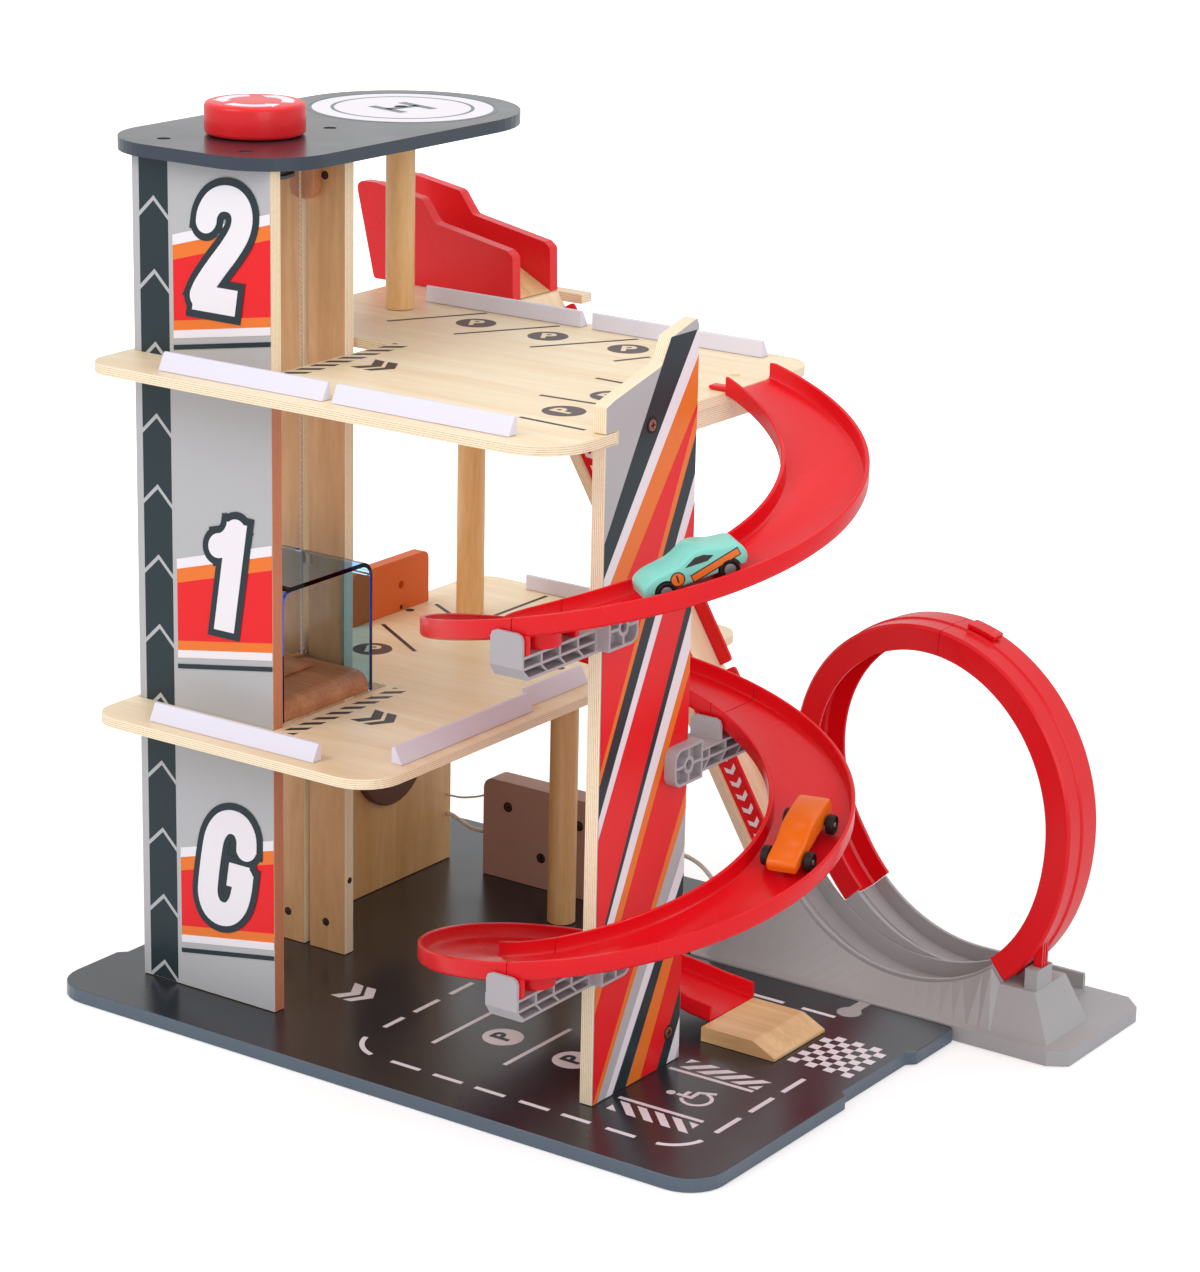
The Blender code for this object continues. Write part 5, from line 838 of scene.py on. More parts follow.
def corner_arc(x, y, start):
    """A printed bend of the route as short quads joined end to end."""
    radius, sweep, steps = 25.0, 66.0, 8
    outlines = []
    inner, outer = radius - ROUTE_LINE / 2, radius + ROUTE_LINE / 2
    for step in range(steps):
        a = math.radians(start + sweep * step / steps)
        b = math.radians(start + sweep * (step + 1) / steps)
        outlines.append([(x + reach * math.cos(t), y + reach * math.sin(t))
                         for t, reach in ((a, inner), (a, outer), (b, outer), (b, inner))])
    return outlines


def board_prints():
    """The dashed route, the chequered field, the hatched bay and the signs on the board."""
    top = on_top(BOARD_TOP)
    front = ((34.4, 56), (66, 88), (99, 120.5), (130, 150.5), (162, 182.6), (2, 24))
    right = ((-139, -113), (-102, -76.5), (-65.7, -41.2))
    left = ((-133.8, -114.4), (-103, -77.7), (-65.8, -42), (-30, -6), (6, 28))
    back = ((156.8, 181.2), (118, 143), (80, 105), (42, 67), (4, 29))
    dashes = [bar(a, -172.7, b, -172.7, ROUTE_LINE) for a, b in front]
    dashes += [bar(217, a, 217, b, ROUTE_LINE) for a, b in right]
    dashes += [bar(-34, a, -34, b, ROUTE_LINE) for a, b in left]
    dashes += [bar(a, 53, b, 53, ROUTE_LINE) for a, b in back]
    for x, y, start in ((192, -147.7, 282), (-9, -147.7, 192), (-9, 28, 102)):
        dashes += corner_arc(x, y, start)
    plates("board_route", top, dashes, "ink_white")
    wide, deep = 6.45, 6.3
    squares = []
    for column in range(7):
        for row in range(column % 2, 8, 2):
            x, y = 193 + column * wide, -23 + row * deep
            squares.append([(x, y), (x + wide, y), (x + wide, y + deep), (x, y + deep)])
    plates("board_chequer", top, squares, "ink_white")
    lines = ((142.8, -131.6, 202.6, -130.8), (142.5, -76.9, 202.3, -75.8), (5, -135, 5, -65),
             (60, -135, 60, -65))
    bays = [bar(*line, 3.0) for line in lines]
    for step in range(4):
        x = 146.4 + step * 12.4
        bays.append([(x, -135.6), (x + 6.8, -135.6), (x + 21.0, -149.8), (x + 14.2, -149.8)])
        bays.append([(x, -72.0), (x + 6.8, -72.0), (x + 20.8, -58.0), (x + 14.0, -58.0)])
    bays.append([(146.0, -142.8), (146.0, -149.8), (153.0, -149.8)])
    bays.append([(196.0, -135.6), (202.8, -135.6), (202.8, -142.4)])
    bays.append([(146.0, -64.6), (146.0, -58.0), (152.6, -58.0)])
    bays.append([(196.0, -72.0), (202.8, -72.0), (202.8, -65.2)])
    plates("board_bays", top, bays, "ink_white")
    plates("board_arrows", top, arrow_pair(-88.0, -101.0), "ink_white")
    for index, (x, y) in enumerate(((33.9, -101), (89, -103.5))):
        parking_disc(f"board_bay_{index}", top, x, y, "ink_white", "ink_petrol", 19, 0.7, 90)
    wheelchair(top, 177, -104)


def wheelchair(place, x, y):
    """The common access sign: head, back and seat, leg, and the wheel's arc."""
    at = place @ Matrix.Translation((x * MM, y * MM, 0.0)) @ Matrix.Rotation(math.radians(90), 4, "Z")
    at = at @ Matrix.Diagonal((0.9, 0.9, 1.0, 1.0))
    plates("access_head", at, [circle(-3, 15, 3.2)], "ink_white")
    body = [[(-3, 10), (-3, -1), (7, -1), (12, -12)], [(-3, 5), (5, 5)]]
    stroke("access_body", at, body, 3.0, "ink_white", 0.1 * MM)
    ring_plate("access_wheel", at, (-2, -5), 11.5, 8.8, "ink_white", start=115, sweep=235, steps=40)


def roof_prints():
    """The landing field with its letter, and the roof's screws."""
    top = on_top(ROOF_TOP)
    x, y = HELIPAD
    plates("helipad", top, [circle(x, y, 58, 72)], "ink_white")
    ring_plate("helipad_ring_outer", top, HELIPAD, 61.3, 60.0, "ink_slate")
    ring_plate("helipad_ring_inner", top, HELIPAD, 46, 43.8, "ink_slate", INK)
    half, rise, width = 12.5, 16, 6.5
    bars = [bar(-half, -rise, -half, rise, width), bar(half, -rise, half, rise, width),
            bar(-half, 0, half, 0, width)]
    at = top @ Matrix.Translation((x * MM, y * MM, 0.0)) @ Matrix.Rotation(math.radians(78), 4, "Z")
    plates("helipad_letter", at, bars, "ink_slate", INK)
    # Dark disc over the roof's screw hole: painted shade in the recess
    plates("helipad_screw", top, [circle(-163.4, 45.0, 4.2, 24)], "painted_recess_shade", 2 * INK)
    sunk = [(0.0, -1.8), (4.2, -1.8), (4.2, -0.9), (3.4, -0.6), (1.2, -0.6), (0.8, -1.3), (0.0, -1.3)]
    for index, (x, y) in enumerate(((-193.0, -149.0), (-126.0, -152.0), (-144.0, -51.0))):
        turned(f"roof_screw_{index}", sunk, top @ Matrix.Translation((x * MM, y * MM, 0.0)),
               "dark_steel")


# Tower and pillar graphics, a plain layout of bands


NUMERALS = {
    "2": [[(-17, 56), (-16.5, 63), (-12, 70), (-4, 73.5), (5, 73), (12, 68.5), (15, 61), (13.5, 52),
           (7, 41), (-3, 28), (-12, 15), (-15.5, 7)], [(-20.5, 7), (18.5, 7)]],
    "1": [[(-11, 60), (-4.5, 62), (1.5, 67), (5, 74)], [(5, 78), (5, 3)]],
    "G": [[(15.5, 54), (13.5, 64.5), (7.5, 71.5), (-1, 73.5), (-9.5, 70.5), (-15, 62), (-16.5, 50),
           (-16.5, 28), (-15, 17), (-9.5, 9), (-1, 6), (7.5, 8), (13.5, 15.5), (15.5, 26),
           (15.5, 39)], [(1, 36), (20.5, 36)]],
}


def lengthened(route, extra):
    """The same route with both its ends carried on."""
    points = [Vector(point) for point in route]
    first = points[0] + (points[0] - points[1]).normalized() * extra
    last = points[-1] + (points[-1] - points[-2]).normalized() * extra
    return [(first.x, first.y), *route[1:-1], (last.x, last.y)]


def numeral(name, place, text, centre_x, base):
    """A heavy leaning numeral: white over a wider dark one."""
    narrow, low, middle, lean_share = 0.86, 0.94, 40.0, 0.16
    lean = Matrix.Identity(4)
    lean[0][1] = lean_share
    at = place @ Matrix.Translation((centre_x * MM, base * MM, 0.0)) @ lean
    routes, wider = [], []
    for route in NUMERALS[text]:
        route = [(x * narrow, middle + (y - middle) * low) for x, y in route]
        if len(route) > 2:
            route = [(point.x, point.y) for point in smooth_line([(x, y, 0.0) for x, y in route], 4)]
        routes.append(route)
        wider.append(lengthened(route, 4.7))
    stroke(f"{name}_edge", at, wider, 25.5, "ink_petrol", 0.45 * MM)
    if text == "G":
        plates(f"{name}_middle", at, [[(-10, 22), (10, 22), (10, 58), (-10, 58)]], "ink_petrol",
               0.5 * MM)
    stroke(f"{name}_face", at, routes, 16.0, "ink_white", 0.75 * MM)


def tower_prints():
    """Grey ground, a column of arrows and a band with a numeral for each level."""
    face = on_front(TOWER_FACE)
    left, right, low, high = -211.0, -102.6, 9.8, 542.4
    sides = [((left + 0.4, 0, 0), (-1, 0, 0)), ((right, 0, 0), (1, 0, 0)), ((0, low, 0), (0, -1, 0)),
             ((0, high, 0), (0, 1, 0))]
    plates("tower_ground", face, [[(left, low), (right, low), (right, high), (left, high)]],
           "ink_grey")
    pitch, line, tip = 45.0, 3.2, 11.0
    x1, middle, x2 = left + 5.5, left + 17, left + 28.5
    arrows = []
    for step in range(-1, 12):
        z = low + 2 + step * pitch
        top = z + pitch - line
        arrows.append([(x1, z), (middle, z + tip), (x2, z), (x2, top), (middle, top + tip), (x1, top)])
    plates("tower_arrows", face, arrows, "ink_petrol", INK, clip=sides)
    start = left + 32.0
    panel = [((start, 0, 0), (-1, 0, 0)), *sides[1:]]
    for name, text, base in (("ground", "G", 56.0), ("first", "1", 246.0), ("second", "2", 449.0)):
        tower_band(name, face, start, right, base, panel)
        numeral(f"tower_numeral_{name}", face, text, -146.0, base + 2.0)


def tower_band(name, face, left, right, base, clip):
    """The coloured band behind a numeral: red between narrower slanting stripes."""
    stripes = {
        "ink_red": [(-7.0, 7.0, 37.0)],
        "ink_orange": [(30.0, 54.0, 9.0), (-13.0, 1.0, 6.0)],
        "ink_white": [(39.0, 63.0, 6.5), (-18.0, -4.0, 5.0)],
        "ink_petrol": [(-25.0, -11.0, 3.0)],
    }
    for level, (ink, rows) in enumerate(stripes.items()):
        shapes = []
        for rise_left, rise_right, thickness in rows:
            top_right = rise_right + thickness + (10.0 if ink == "ink_red" else 0.0)
            shapes.append([(left - 4, base + rise_left), (right + 4, base + rise_right),
                           (right + 4, base + top_right), (left - 4, base + rise_left + thickness)])
        plates(f"band_{name}_{ink}", face, shapes, ink, (1 + level) * INK, clip=clip)


def pillar_prints():
    """Grey ground and steep bands over the pillar's face."""
    face = on_right(PILLAR_FACE)
    y1, y2, low, high = -153.1, -60.5, 9.7, 466
    outline = [(y1, low), (y2, low), (y2, 467.6), (-62.3, 472.2), (-66.5, 471.6), (-88.6, 465.4),
               (-94.2, 453.0), (-100.3, 449.9), (-145.2, 438.6), (y1, 435.6), (y1, 420.7),
               (-140.9, 420.7), (-140.9, 412.8), (y1, 412.8)]
    plates("pillar_ground", face, [outline], "ink_grey")
    clip = [((y1 + 0.3, 0, 0), (-1, 0, 0)), ((y2 - 0.3, 0, 0), (1, 0, 0)), ((0, low, 0), (0, -1, 0)),
            ((0, high, 0), (0, 1, 0))]

    def wedge(a, b, c, d):
        """A band from the left edge's heights a to b, to the right edge's c to d."""
        return [(y1 - 2, a), (y2 + 2, c), (y2 + 2, d), (y1 - 2, b)]

    bands = {
        "ink_petrol": [wedge(331, 352, 470, 520), wedge(184, 206, 384, 410), wedge(92, 99, 300, 318),
                       wedge(-60, -30, 122, 134), wedge(-150, -128, 40, 62)],
        "ink_white": [wedge(318, 332, 452, 472), wedge(172, 185, 366, 385), wedge(78, 93, 276, 301),
                      wedge(-28, -18, 135, 152), wedge(-170, -152, 22, 41)],
        "ink_orange": [wedge(296, 319, 424, 454), wedge(206, 214, 410, 424), wedge(62, 79, 262, 277),
                       wedge(-96, -62, 100, 123), wedge(-2, 6, 176, 190)],
        "ink_red": [wedge(214, 297, 423, 425), wedge(99, 173, 318, 367), wedge(6, 63, 189, 263),
                    wedge(-128, -98, 62, 101)],
    }
    for level, (ink, shapes) in enumerate(bands.items()):
        plates(f"pillar_bands_{ink}", face, shapes, ink, (1 + level) * INK, clip=clip)


def pillar_screws():
    """Screws in the pillar, the station block and the tower, and the service panel's slot."""
    rows = (
        ("pillar_screw", on_right(PILLAR_FACE + 0.5), ((-107.3, 417.4), (-73.0, 30.0)), 4.2, "steel"),
        ("station_screw", on_front(122.7), ((-127.7, 62.3), (-99.1, 31.4), (-67.8, 61.8)), 3.0,
         "dark_steel"),
    )
    for name, place, spots, radius, head in rows:
        for index, (x, y) in enumerate(spots):
            screw(f"{name}_{index}", place, x, y, radius, head)
    screw("tower_screw", on_right(-128.4), -50.6, 60.0, 1.8, "dark_steel")
    for index, (x, z) in enumerate(((-176.3, 28.8), (-144.3, 28.8), (-144.2, 522.3))):
        screw(f"back_board_screw_{index}", on_front(-55.6), x, z, 2.3, "dark_steel")
    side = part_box("service_panel")[1].x / MM
    # The slot is a dark disc: painted shade in the hole
    plates("service_panel_slot", on_right(side), [circle(94.3, 199.4, 1.6, 20)], "painted_recess_shade")


def screw(name, place, x, y, radius, head):
    """A countersunk cross-head screw, flush with the face."""
    at = place @ Matrix.Translation((x * MM, y * MM, 0.0))
    # The dark seat round the head and the dark cross are painted shade of the countersink and the cross
    # slot
    turned(f"{name}_seat", [(0.0, -0.3), (radius * 1.2, -0.3), (radius * 1.2, 0.1), (radius, 0.15),
                            (0.0, 0.15)], at, "painted_recess_shade")
    turned(f"{name}_head", [(0.0, 0.0), (radius * 0.85, 0.0), (radius * 0.8, 0.35), (0.0, 0.5)], at,
           head)
    arm, width = radius * 0.5, radius * 0.22
    cross = [bar(-arm, 0, arm, 0, width), bar(0, -arm, 0, arm, width)]
    plates(f"{name}_cross", at, cross, "painted_recess_shade", 0.47 * MM)


# Spiral track


TRACK_X, TRACK_Y = 128.0, -98.5
TRACK_RADIUS, TRACK_HALF = 104.0, 25.6
TRACK_PITCH, TRACK_TOP = 205.505, 431.0
TRACK_EASE_FROM, TRACK_END, TRACK_EASE = 540.0, 712.8, 7.0


def track_top(angle):
    """Height of the wall top at an angle; the last half turn flattens out."""
    ease = max(angle - TRACK_EASE_FROM, 0.0) / (TRACK_END - TRACK_EASE_FROM)
    return TRACK_TOP - TRACK_PITCH * angle / 360.0 + TRACK_EASE * ease**2


def track_section():
    """The channel with eased lips and a small fillet inside, outward and up from the wall top."""
    half, skin = TRACK_HALF, 2.5
    right = [(half - 3.4, -12.5), (half - 2.0, -12.1), (half - 0.6, -11.0), (half, -9.6),
             (half, -0.6), (half - 0.6, -0.05), (half - skin + 0.6, -0.05), (half - skin, -0.6),
             (half - skin, -7.4), (half - skin - 0.8, -9.2), (half - skin - 2.6, -10.0)]
    return right + [(-x, z) for x, z in reversed(right)]


def move_end(bm, face, x, drop):
    """Carries the channel's end face straight on to an X, and down by a drop."""
    made = bmesh.ops.extrude_face_region(bm, geom=[face])["geom"]
    for vert in only_verts(made):
        vert.co.x = x
        vert.co.z -= drop
    if face.is_valid:
        bm.faces.remove(face)


def track_piece(index, start, end, start_x=None, end_x=None):
    """One length of the spiral, which stands for its solid."""
    node = f"track_segment_{index}"
    steps = max(24, int((end - start) / 2.4))
    bm = bmesh.new()
    verts = [bm.verts.new((0.0, (TRACK_RADIUS + out) * MM, (track_top(start) + up) * MM))
             for out, up in track_section()]
    face = bm.faces.new(verts)
    centre = (TRACK_X * MM, TRACK_Y * MM, 0.0)
    bmesh.ops.translate(bm, vec=centre, verts=bm.verts)
    bmesh.ops.rotate(bm, cent=centre, matrix=Matrix.Rotation(-math.radians(start), 3, "Z"),
                     verts=bm.verts)
    drop = (track_top(start) - track_top(end)) * MM / steps
    swept = bmesh.ops.spin(bm, geom=[*bm.verts, *bm.edges, face], cent=centre, axis=(0, 0, -1),
                           dvec=(0, 0, -drop), angle=math.radians(end - start), steps=steps,
                           use_duplicate=False)
    last = next(item for item in swept["geom_last"] if isinstance(item, bmesh.types.BMFace))
    if end_x is not None:
        move_end(bm, last, end_x * MM, 2.0 * MM)
    if start_x is not None:
        move_end(bm, face, start_x * MM, 0.0)
    piece = link_piece(f"{node}_channel", close_mesh(node, bm, 30.0), "red_plastic")
    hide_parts(node)


def track_tab():
    """The flat tongue at the spiral's start that lies on the second floor."""
    bm = bmesh.new()
    cuboid(bm, (127.0, -16.1, 421.55), (16.0, 8.0, 2.5))
    soften(bm, list(bm.edges), 1.0)
    link_piece("track_segment_1_tab", close_mesh("track_segment_1_tab", bm, 40.0), "red_plastic")


def foot_post(name, outline, angle, radius):
    """A post from a bracket's arm up into the sloping underside of the track."""
    low = track_top(angle) - 20.2
    high = track_top(angle) - 11.0
    rise = TRACK_PITCH / (math.tau * radius)
    bm = bmesh.new()
    raise_face(bm, flat_face(bm, outline, low * MM), (high - low) * MM)
    for vert in bm.verts:
        if vert.co.z > (low + high) / 2 * MM:
            vert.co.z += abs(vert.co.x - TRACK_X * MM) * rise
    if len(outline) == 4:
        uprights = [edge for edge in bm.edges
                    if abs(edge.verts[0].co.z - edge.verts[1].co.z) > 5 * MM]
        soften(bm, uprights, 0.6)
    link_piece(name, close_mesh(name, bm, 40.0), "red_plastic")


def track_foot(index, angle):
    """Two end walls and a half round post under a joint, which stand on the bracket's arm."""
    side = math.cos(math.radians(angle))
    end = TRACK_X - side
    for label, inner in (("inner", TRACK_RADIUS - TRACK_HALF + 0.4),
                         ("outer", TRACK_RADIUS + TRACK_HALF - 4.0)):
        near, far = TRACK_Y + side * inner, TRACK_Y + side * (inner + 3.6)
        back = end - side * 10.0
        foot_post(f"track_foot_{index}_{label}", [(end, near), (back, near), (back, far), (end, far)],
                  angle, inner + 1.8)
    middle = TRACK_Y + side * TRACK_RADIUS
    turns = [math.pi * (step / 24 - 0.5) for step in range(25)]
    half_round = [(end - side * 13.0 * math.cos(turn), middle + 13.0 * math.sin(turn)) for turn in turns]
    foot_post(f"track_foot_{index}_post", half_round, angle, TRACK_RADIUS)


def bracket_screws():
    """Screw heads down in the bosses that hold the brackets to the pillar."""
    profile = [(0.0, 0.0), (2.9, 0.0), (2.9, 2.6), (2.2, 3.4), (0.9, 3.6), (0.6, 2.8), (0.0, 2.8)]
    for index, (angle, y) in enumerate(((180.0, -143.0), (360.0, -70.6), (540.0, -143.0))):
        z = track_top(angle) - 21.8
        at = on_right(140.3) @ Matrix.Translation((y * MM, z * MM, 0.0))
        turned(f"bracket_screw_{index}", profile, at, "dark_steel")


def spiral_track():
    """Four lengths of track; each of the first three has a foot on the bracket under its lower end."""
    gap = 0.3
    track_piece(1, 3.0, 180.0 - gap, start_x=131.3)
    track_foot(1, 180.0)
    track_tab()
    track_piece(2, 180.0, 360.0 - gap)
    track_foot(2, 360.0)
    track_piece(3, 360.0, 540.0 - gap)
    track_foot(3, 540.0)
    track_piece(4, 540.0, TRACK_END, end_x=134.7)


# Loop


def loop_point(angle, inward, fraction):
    """A point of the loop's side view; it leans right with the fraction and flares at its foot."""
    turn = math.radians(angle)
    centre = 187.0 + 18.0 * fraction
    x = centre + (112.0 - inward) * math.cos(turn) - 6.9 * math.sin(turn)
    if math.sin(turn) < 0 < math.cos(turn):
        x += 13.0 * math.sin(turn)**2 * math.cos(turn)
    return x, 130.0 + (117.5 - inward) * math.sin(turn)


def shift(angle):
    """How far round the loop an angle lies, as 0 to 1."""
    return min(max((angle + 51.5) / 259.5, 0.0), 1.0)


def lane_y(angle):
    """The lane's middle, which moves back along the loop so that the ends pass each other."""
    return 130.0 + 37.7 * shift(angle)


def loop_section():
    """The lane with eased lips, a centre groove and the ridge outside, inward and across."""
    wall, half, skin = 14.5, 18.7, 2.5
    right = [(-skin, 3.2), (-skin, half - 1.6), (-skin + 1.6, half), (wall - 0.6, half),
             (wall, half - 0.6), (wall, half - skin + 0.6), (wall - 0.6, half - skin),
             (1.6, half - skin), (0.0, half - skin - 1.6), (0.0, 2.2), (-1.0, 1.5)]
    left = [(inward, -across) for inward, across in reversed(right)]
    return right + left + [(-skin - 1.0, -2.2), (-skin - 1.0, 2.2)]


def loop_piece(node, start, end):
    """One half of the loop, which stands for its solid: a plain ring bent to the real line."""
    bm = bmesh.new()
    face = bm.faces.new([bm.verts.new((1.0 - inward * MM, across * MM, 0.0))
                         for inward, across in loop_section()])
    bmesh.ops.spin(bm, geom=[*bm.verts, *bm.edges, face], cent=(0, 0, 0), axis=(0, -1, 0),
                   angle=math.radians(end - start), steps=90, use_duplicate=False)
    for vert in bm.verts:
        angle = start + math.degrees(math.atan2(vert.co.z, vert.co.x)) % 360.0
        if angle > end + 1.0:
            angle -= 360.0
        inward = (1.0 - math.hypot(vert.co.x, vert.co.z)) / MM
        x, z = loop_point(angle, inward, shift(angle))
        vert.co = (x * MM, vert.co.y + lane_y(angle) * MM, z * MM)
    piece = link_piece(f"{node}_channel", close_mesh(node, bm, 30.0), "red_plastic")
    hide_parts(node)


def vertical_loop():
    """Both halves, and the ribs of the peg that stands in the base's socket."""
    loop_piece("loop_right", -51.3, 84.8)
    loop_piece("loop_left", 85.0, 224.3)
    middle, depth, socket = lane_y(-35.25) - 9.35, 1.9, 36.0
    edge = [loop_point(angle, -1.5, shift(angle)) for angle in (-38.0, -36.2, -34.3, -32.5)]
    outline = [(edge[0][0], socket), (edge[-1][0], socket), *reversed(edge)]
    for step, offset in enumerate((-3.0, 0.0, 3.0)):
        bm = bmesh.new()
        y = (middle + offset - depth / 2) * MM
        face = bm.faces.new([bm.verts.new((x * MM, y, z * MM)) for x, z in outline])
        face.normal_update()
        raise_face(bm, face, depth * MM if face.normal.y > 0 else -depth * MM)
        link_piece(f"loop_peg_rib_{step}", close_mesh("rib", bm), "red_plastic")


# Ramp arrows and turned pieces


def ramp_prints():
    """White arrowheads down the near rail, which point the way the cars go."""
    down = Vector((math.cos(RAMP_SLOPE), 0.0, -math.sin(RAMP_SLOPE)))
    normal = Vector((math.sin(RAMP_SLOPE), 0.0, math.cos(RAMP_SLOPE)))
    place = Matrix((down, normal, Vector((0.0, -1.0, 0.0)))).transposed().to_4x4()
    place.translation = Vector((-117.0, 106.0, FLOOR_2_TOP)) * MM
    outline = [(0.0, 3.6), (3.4, 3.6), (6.6, 7.8), (3.4, 12.0), (0.0, 12.0), (3.2, 7.8)]
    first, pitch, count = 24.0, 9.4, 39
    shapes = [[(first + pitch * step + x, y) for x, y in outline] for step in range(count)]
    plates("ramp_arrows", place, shapes, "ink_white")


def turned_pieces():
    """The three dowels, and the knob with its three printed arrows."""
    posts = {"post_ground": (-52.4, 81.9), "post_first": (-161.0, 121.2), "post_second": (-163.4, 45.0)}
    for node, (x, y) in posts.items():
        low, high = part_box(node)
        length = (high.z - low.z) / MM
        place = Matrix.Translation((x * MM, y * MM, low.z))
        profile = [(0.0, 0.0), (9.0, 0.0), (9.5, 0.5), (9.5, length - 0.5), (9.0, length),
                   (0.0, length)]
        piece = turned(f"{node}_dowel", profile, place, "beech_up", steps=64)
        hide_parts(node)
    x, y = KNOB
    profile = [(0.0, 20.0), (28.0, 20.0), (29.4, 19.6), (30.5, 18.7), (31.0, 17.3), (31.0, 2.7),
               (30.5, 1.3), (29.4, 0.4), (28.0, 0.0), (6.3, 0.0), (6.3, 10.0), (0.0, 10.0)]
    foot = Matrix.Translation(Vector((x, y, KNOB_FOOT)) * MM)
    knob = turned("knob_cap", profile, foot, "red_paint", "knob", steps=96)
    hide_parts("lift_knob")
    top = Matrix.Translation(Vector((x, y, KNOB_FOOT + 20.0)) * MM)
    for index in range(3):
        start = 20.0 + 120.0 * index
        ring_plate(f"knob_arrow_{index}", top, (0, 0), 24.0, 16.5, "ink_white", body="knob",
                   start=start, sweep=74.0, steps=20)
        head = []
        for reach, turn in ((14.0, start + 74.0), (26.5, start + 74.0), (20.25, start + 98.0)):
            head.append((reach * math.cos(math.radians(turn)), reach * math.sin(math.radians(turn))))
        plates(f"knob_arrow_head_{index}", top, [head], "ink_white", body="knob")


# Cars


CARS = {
    "upper": {
        "turn": 0.36, "width": 26.0, "wheels": 13.6, "hub": 3.4, "material": "turquoise",
        "slot": "turquoise_plastic",
        "outline": [(31.5, 6.0), (30.5, 12.3), (24.5, 15.8), (16.5, 17.0), (9.5, 18.0), (4.9, 19.8),
                    (-0.8, 22.6), (-5.9, 23.3), (-12.6, 21.6), (-18.0, 19.9), (-28.3, 18.0),
                    (-31.3, 11.0), (-29.0, 6.0)],
    },
    "lower": {
        "turn": 1.217, "width": 19.0, "wheels": 15.6, "hub": 1.7, "material": "car_orange",
        "slot": "orange_plastic",
        "outline": [(31.0, 5.0), (31.5, 10.0), (27.0, 13.0), (13.0, 14.5), (4.0, 18.5), (-11.0, 19.5),
                    (-27.0, 18.0), (-31.3, 13.5), (-31.3, 5.5)],
    },
}
AXLE_X, AXLE_Z, CAR_LIFT = 19.0, 6.0, 1.1


def car_matrix(turn):
    """Where a car stands on the track: forward is X, outward Y, and Z up from the lane."""
    angle = math.tau * turn
    slope = math.atan2(TRACK_PITCH, math.tau * TRACK_RADIUS)
    forward = Vector((math.cos(angle) * math.cos(slope), -math.sin(angle) * math.cos(slope),
                      -math.sin(slope)))
    outward = Vector((math.sin(angle), math.cos(angle), 0.0))
    up = forward.cross(outward)
    place = Matrix((forward, outward, up)).transposed().to_4x4()
    centre = Vector((TRACK_X, TRACK_Y, track_top(math.degrees(angle)) - 10.0)) * MM
    place.translation = centre + outward * TRACK_RADIUS * MM + up * CAR_LIFT * MM
    return place


def car_body(name):
    """A rounded toy car body with slots for its axles and arches where the wheels sit inside."""
    car = CARS[name]
    half = car["width"] / 2
    bm = bmesh.new()
    curve = smooth_line([(x, 0.0, z) for x, z in car["outline"]], 3)
    face = bm.faces.new([bm.verts.new((point.x * MM, -half * MM, point.z * MM)) for point in curve])
    made = bmesh.ops.extrude_face_region(bm, geom=[face])["geom"]
    bmesh.ops.translate(bm, vec=(0.0, 2 * half * MM, 0.0), verts=only_verts(made))
    bmesh.ops.recalc_face_normals(bm, faces=bm.faces)
    sides = [edge for edge in bm.edges if abs(edge.verts[0].co.y - edge.verts[1].co.y) < MM]
    soften(bm, sides, 1.8, 3)
    shell = link_piece(f"car_{name}_shell", close_mesh(name, bm), car["material"])
    inner = car["wheels"] - 5.4
    if inner < half:
        for x, side in ((AXLE_X, -1.0), (AXLE_X, 1.0), (-AXLE_X, -1.0), (-AXLE_X, 1.0)):
            arch = bmesh.new()
            bmesh.ops.create_cone(arch, cap_ends=True, segments=36, radius1=6.9 * MM,
                                  radius2=6.9 * MM, depth=12.0 * MM)
            at = Matrix.Translation(Vector((x, side * (inner + 6.0), AXLE_Z)) * MM)
            bmesh.ops.transform(arch, matrix=at @ ACROSS, verts=arch.verts)
            cut_away(shell, arch)
    slots = bmesh.new()
    for x in (AXLE_X, -AXLE_X):
        cuboid(slots, (x, 0.0, 3.75), (3.1, 40.0, 7.6))
    cut_away(shell, slots)
    shell.data.transform(car_matrix(car["turn"]))
    shell.data.shade_smooth()
    shell.data.set_sharp_from_angle(angle=math.radians(28.0))
    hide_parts(f"car_{name}_body")


def cut_away(piece, cutter_bm):
    """Cuts a shape out of a piece and keeps the result in its mesh."""
    bmesh.ops.recalc_face_normals(cutter_bm, faces=cutter_bm.faces)
    mesh = bpy.data.meshes.new("cutter")
    cutter_bm.to_mesh(mesh)
    cutter_bm.free()
    cutter = bpy.data.objects.new("cutter", mesh)
    bpy.context.scene.collection.objects.link(cutter)
    modifier = piece.modifiers.new("cut", "BOOLEAN")
    modifier.operation = "DIFFERENCE"
    modifier.object = cutter
    bpy.context.view_layer.update()
    graph = bpy.context.evaluated_depsgraph_get()
    cut = bpy.data.meshes.new_from_object(piece.evaluated_get(graph))
    piece.modifiers.clear()
    old = piece.data
    piece.data = cut
    bpy.data.meshes.remove(old)
    bpy.data.objects.remove(cutter)


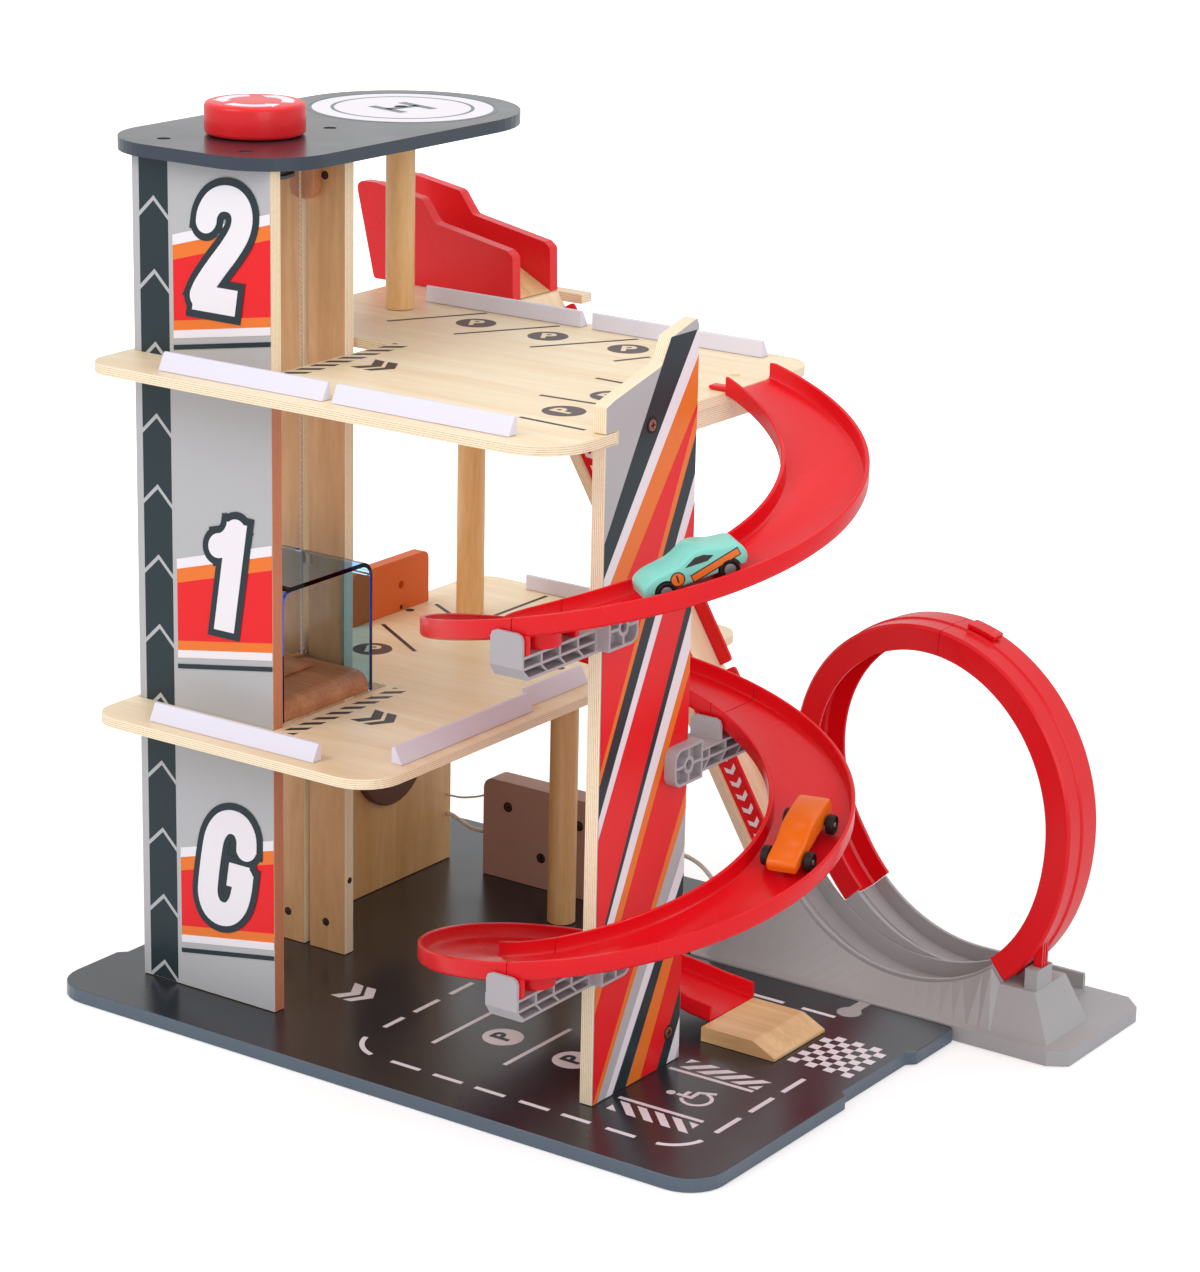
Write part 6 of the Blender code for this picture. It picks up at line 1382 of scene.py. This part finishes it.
def car_marks():
    """The turquoise car's window, number and stripe on both sides, and the orange one's chassis."""
    place = car_matrix(CARS["upper"]["turn"])
    window = [(5.3, 16.0), (-1.6, 19.8), (-6.6, 19.7), (-12.2, 17.5), (-7.8, 15.5)]
    for side, label in ((-1.0, "right"), (1.0, "left")):
        face = Matrix(((-side, 0, 0, 0), (0, 0, side, 0), (0, 1, 0, 0), (0, 0, 0, 1)))
        at = place @ Matrix.Translation((0.0, side * CARS["upper"]["width"] / 2 * MM, 0.0)) @ face
        x = -side * 11.0
        marks = (
            ("window", [(-side * a, z) for a, z in window], "window", 0.0, 2 * INK),
            ("stripe_edge", bar(-side * 3.1, 8.4, side * 27.0, 14.8, 5.0), "ink_petrol", 0.0, INK),
            ("stripe", bar(-side * 2.6, 8.5, side * 26.5, 14.7, 3.6), "ink_orange", INK, INK),
            ("number_edge", circle(x, 11.2, 4.3, 32), "ink_petrol", 1.5 * INK, INK),
            ("number_disc", circle(x, 11.2, 3.6, 32), "ink_orange", 2.5 * INK, INK),
        )
        for mark, outline, ink, lift, thickness in marks:
            plates(f"car_upper_{mark}_{label}", at, [outline], ink, lift, thickness=thickness)
        letter(f"car_upper_number_{label}", at, "1", (x, 11.2), 6.4, "ink_petrol", 3.5 * INK,
               weight=0.12)
    bm = bmesh.new()
    cuboid(bm, (0.0, 0.0, 3.8), (30.0, 15.0, 3.2))
    soften(bm, list(bm.edges), 0.8)
    bmesh.ops.transform(bm, matrix=car_matrix(CARS["lower"]["turn"]), verts=bm.verts)
    link_piece("car_lower_chassis", close_mesh("chassis", bm, 40.0), "tyre")


def wheel_sets():
    """Wheels with a rim, a hub and an axle end, one piece to an axle."""
    for name, car in CARS.items():
        out, hub = car["wheels"], car["hub"]
        half = [(0.0, out - 0.5), (hub, out - 0.5), (hub + 0.2, out - 0.9), (4.2, out - 0.8),
                (4.6, out - 0.1), (5.4, out), (5.9, out - 0.5), (6.0, out - 1.1),
                (6.0, out - 3.8), (5.8, out - 4.4), (5.2, out - 4.8), (1.2, out - 4.8)]
        profile = half + [(radius, -height) for radius, height in reversed(half)]
        cap = [(0.0, out), (hub * 0.8, out - 0.05), (hub, out - 0.4), (hub, out - 0.6),
               (0.0, out - 0.6)]
        for label, x in (("front", AXLE_X), ("rear", -AXLE_X)):
            at = car_matrix(car["turn"]) @ Matrix.Translation(Vector((x, 0.0, AXLE_Z)) * MM) @ ACROSS
            node, body = f"car_{name}_wheels_{label}", f"{name}_car_{label}_wheels"
            piece = turned(f"{node}_set", profile, at, "tyre", body, steps=40)
            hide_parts(node)
            for side, end in (("left", 1.0), ("right", -1.0)):
                turned(f"{node}_cap_{side}", [(radius, height * end) for radius, height in cap], at,
                       "hub", body, steps=28)


# Cords


def cord_curve(name, lines, radius, resolution):
    """A capped tube along each line of points, as a mesh."""
    curve = bpy.data.curves.new(name, "CURVE")
    curve.dimensions = "3D"
    curve.bevel_depth = radius
    curve.bevel_resolution = resolution
    curve.use_fill_caps = True
    for line in lines:
        spline = curve.splines.new("POLY")
        spline.points.add(len(line) - 1)
        for point, place in zip(spline.points, line):
            point.co = (*place, 1.0)
    mesh = mesh_of(curve)
    mesh.shade_smooth()
    return mesh


def tube(name, points, radius, material, node):
    """A cord that is held at both ends, on a smooth curve through its route's points."""
    line = smooth_line(points, 6)
    mesh = cord_curve(name, [line], radius, 3)
    mesh.set_sharp_from_angle(angle=math.radians(50.0))
    piece = link_piece(name, mesh, material)
    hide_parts(node)


def twisted_cord(name, x, y, top, low, radius):
    """Two strands wound round each other down a straight run."""
    pitch, offset = 3.4 * MM, radius * 0.45
    steps = int((top - low) / pitch * 10)
    strands = []
    for phase in (0.0, math.pi):
        strand = []
        for index in range(steps + 1):
            z = top + (low - top) * index / steps
            turn = phase + math.tau * (top - z) / pitch
            strand.append((x + offset * math.cos(turn), y + offset * math.sin(turn), z))
        strands.append(strand)
    return link_piece(name, cord_curve(name, strands, radius * 0.52, 1), "cord", None)


def cords():
    """The station block's string and hoses on their routes, and the lift's cord."""
    string = [(-0.1854, 0.13, 0.057), (-0.1795, 0.13, 0.057), (-0.172, 0.1302, 0.0577),
              (-0.162, 0.1306, 0.0602), (-0.155, 0.131, 0.0627), (-0.149, 0.1317, 0.065)]
    hose = [(-0.1854, 0.13, 0.043), (-0.181, 0.13, 0.0428), (-0.174, 0.1302, 0.0402),
            (-0.166, 0.1306, 0.037), (-0.158, 0.1312, 0.0362), (-0.153, 0.1316, 0.0368),
            (-0.149, 0.1317, 0.0372)]
    lead = [(-0.0417, 0.1317, 0.0605), (-0.035, 0.1316, 0.0604), (-0.02, 0.131, 0.0596),
            (-0.004, 0.1288, 0.059), (0.011, 0.125, 0.0598), (0.024, 0.121, 0.0604),
            (0.035, 0.1185, 0.058), (0.0435, 0.1177, 0.052), (0.05, 0.1175, 0.044),
            (0.0545, 0.1175, 0.035), (0.0565, 0.1175, 0.026), (0.057, 0.1175, 0.0163)]
    tube("station_string_line", string, 0.7 * MM, "cord", "station_string")
    tube("station_hose_line", hose, 1.5 * MM, "hose", "station_hose")
    tube("station_lead_line", lead, 1.5 * MM, "hose", "station_lead")
    low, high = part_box("lift_cord")
    x, y = (low.x + high.x) / 2, (low.y + high.y) / 2
    cord = twisted_cord("lift_cord_line", x, y, high.z, low.z, 0.85 * MM)
    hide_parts("lift_cord")
    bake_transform(cord)


def main():
    """Builds the whole scene."""
    set_camera()
    cords()
    set_studio()
    dress_solids()
    deck_prints()
    board_prints()
    roof_prints()
    tower_prints()
    pillar_prints()
    pillar_screws()
    spiral_track()
    vertical_loop()
    ramp_prints()
    turned_pieces()
    bracket_screws()
    for name in CARS:
        car_body(name)
    car_marks()
    wheel_sets()


main()
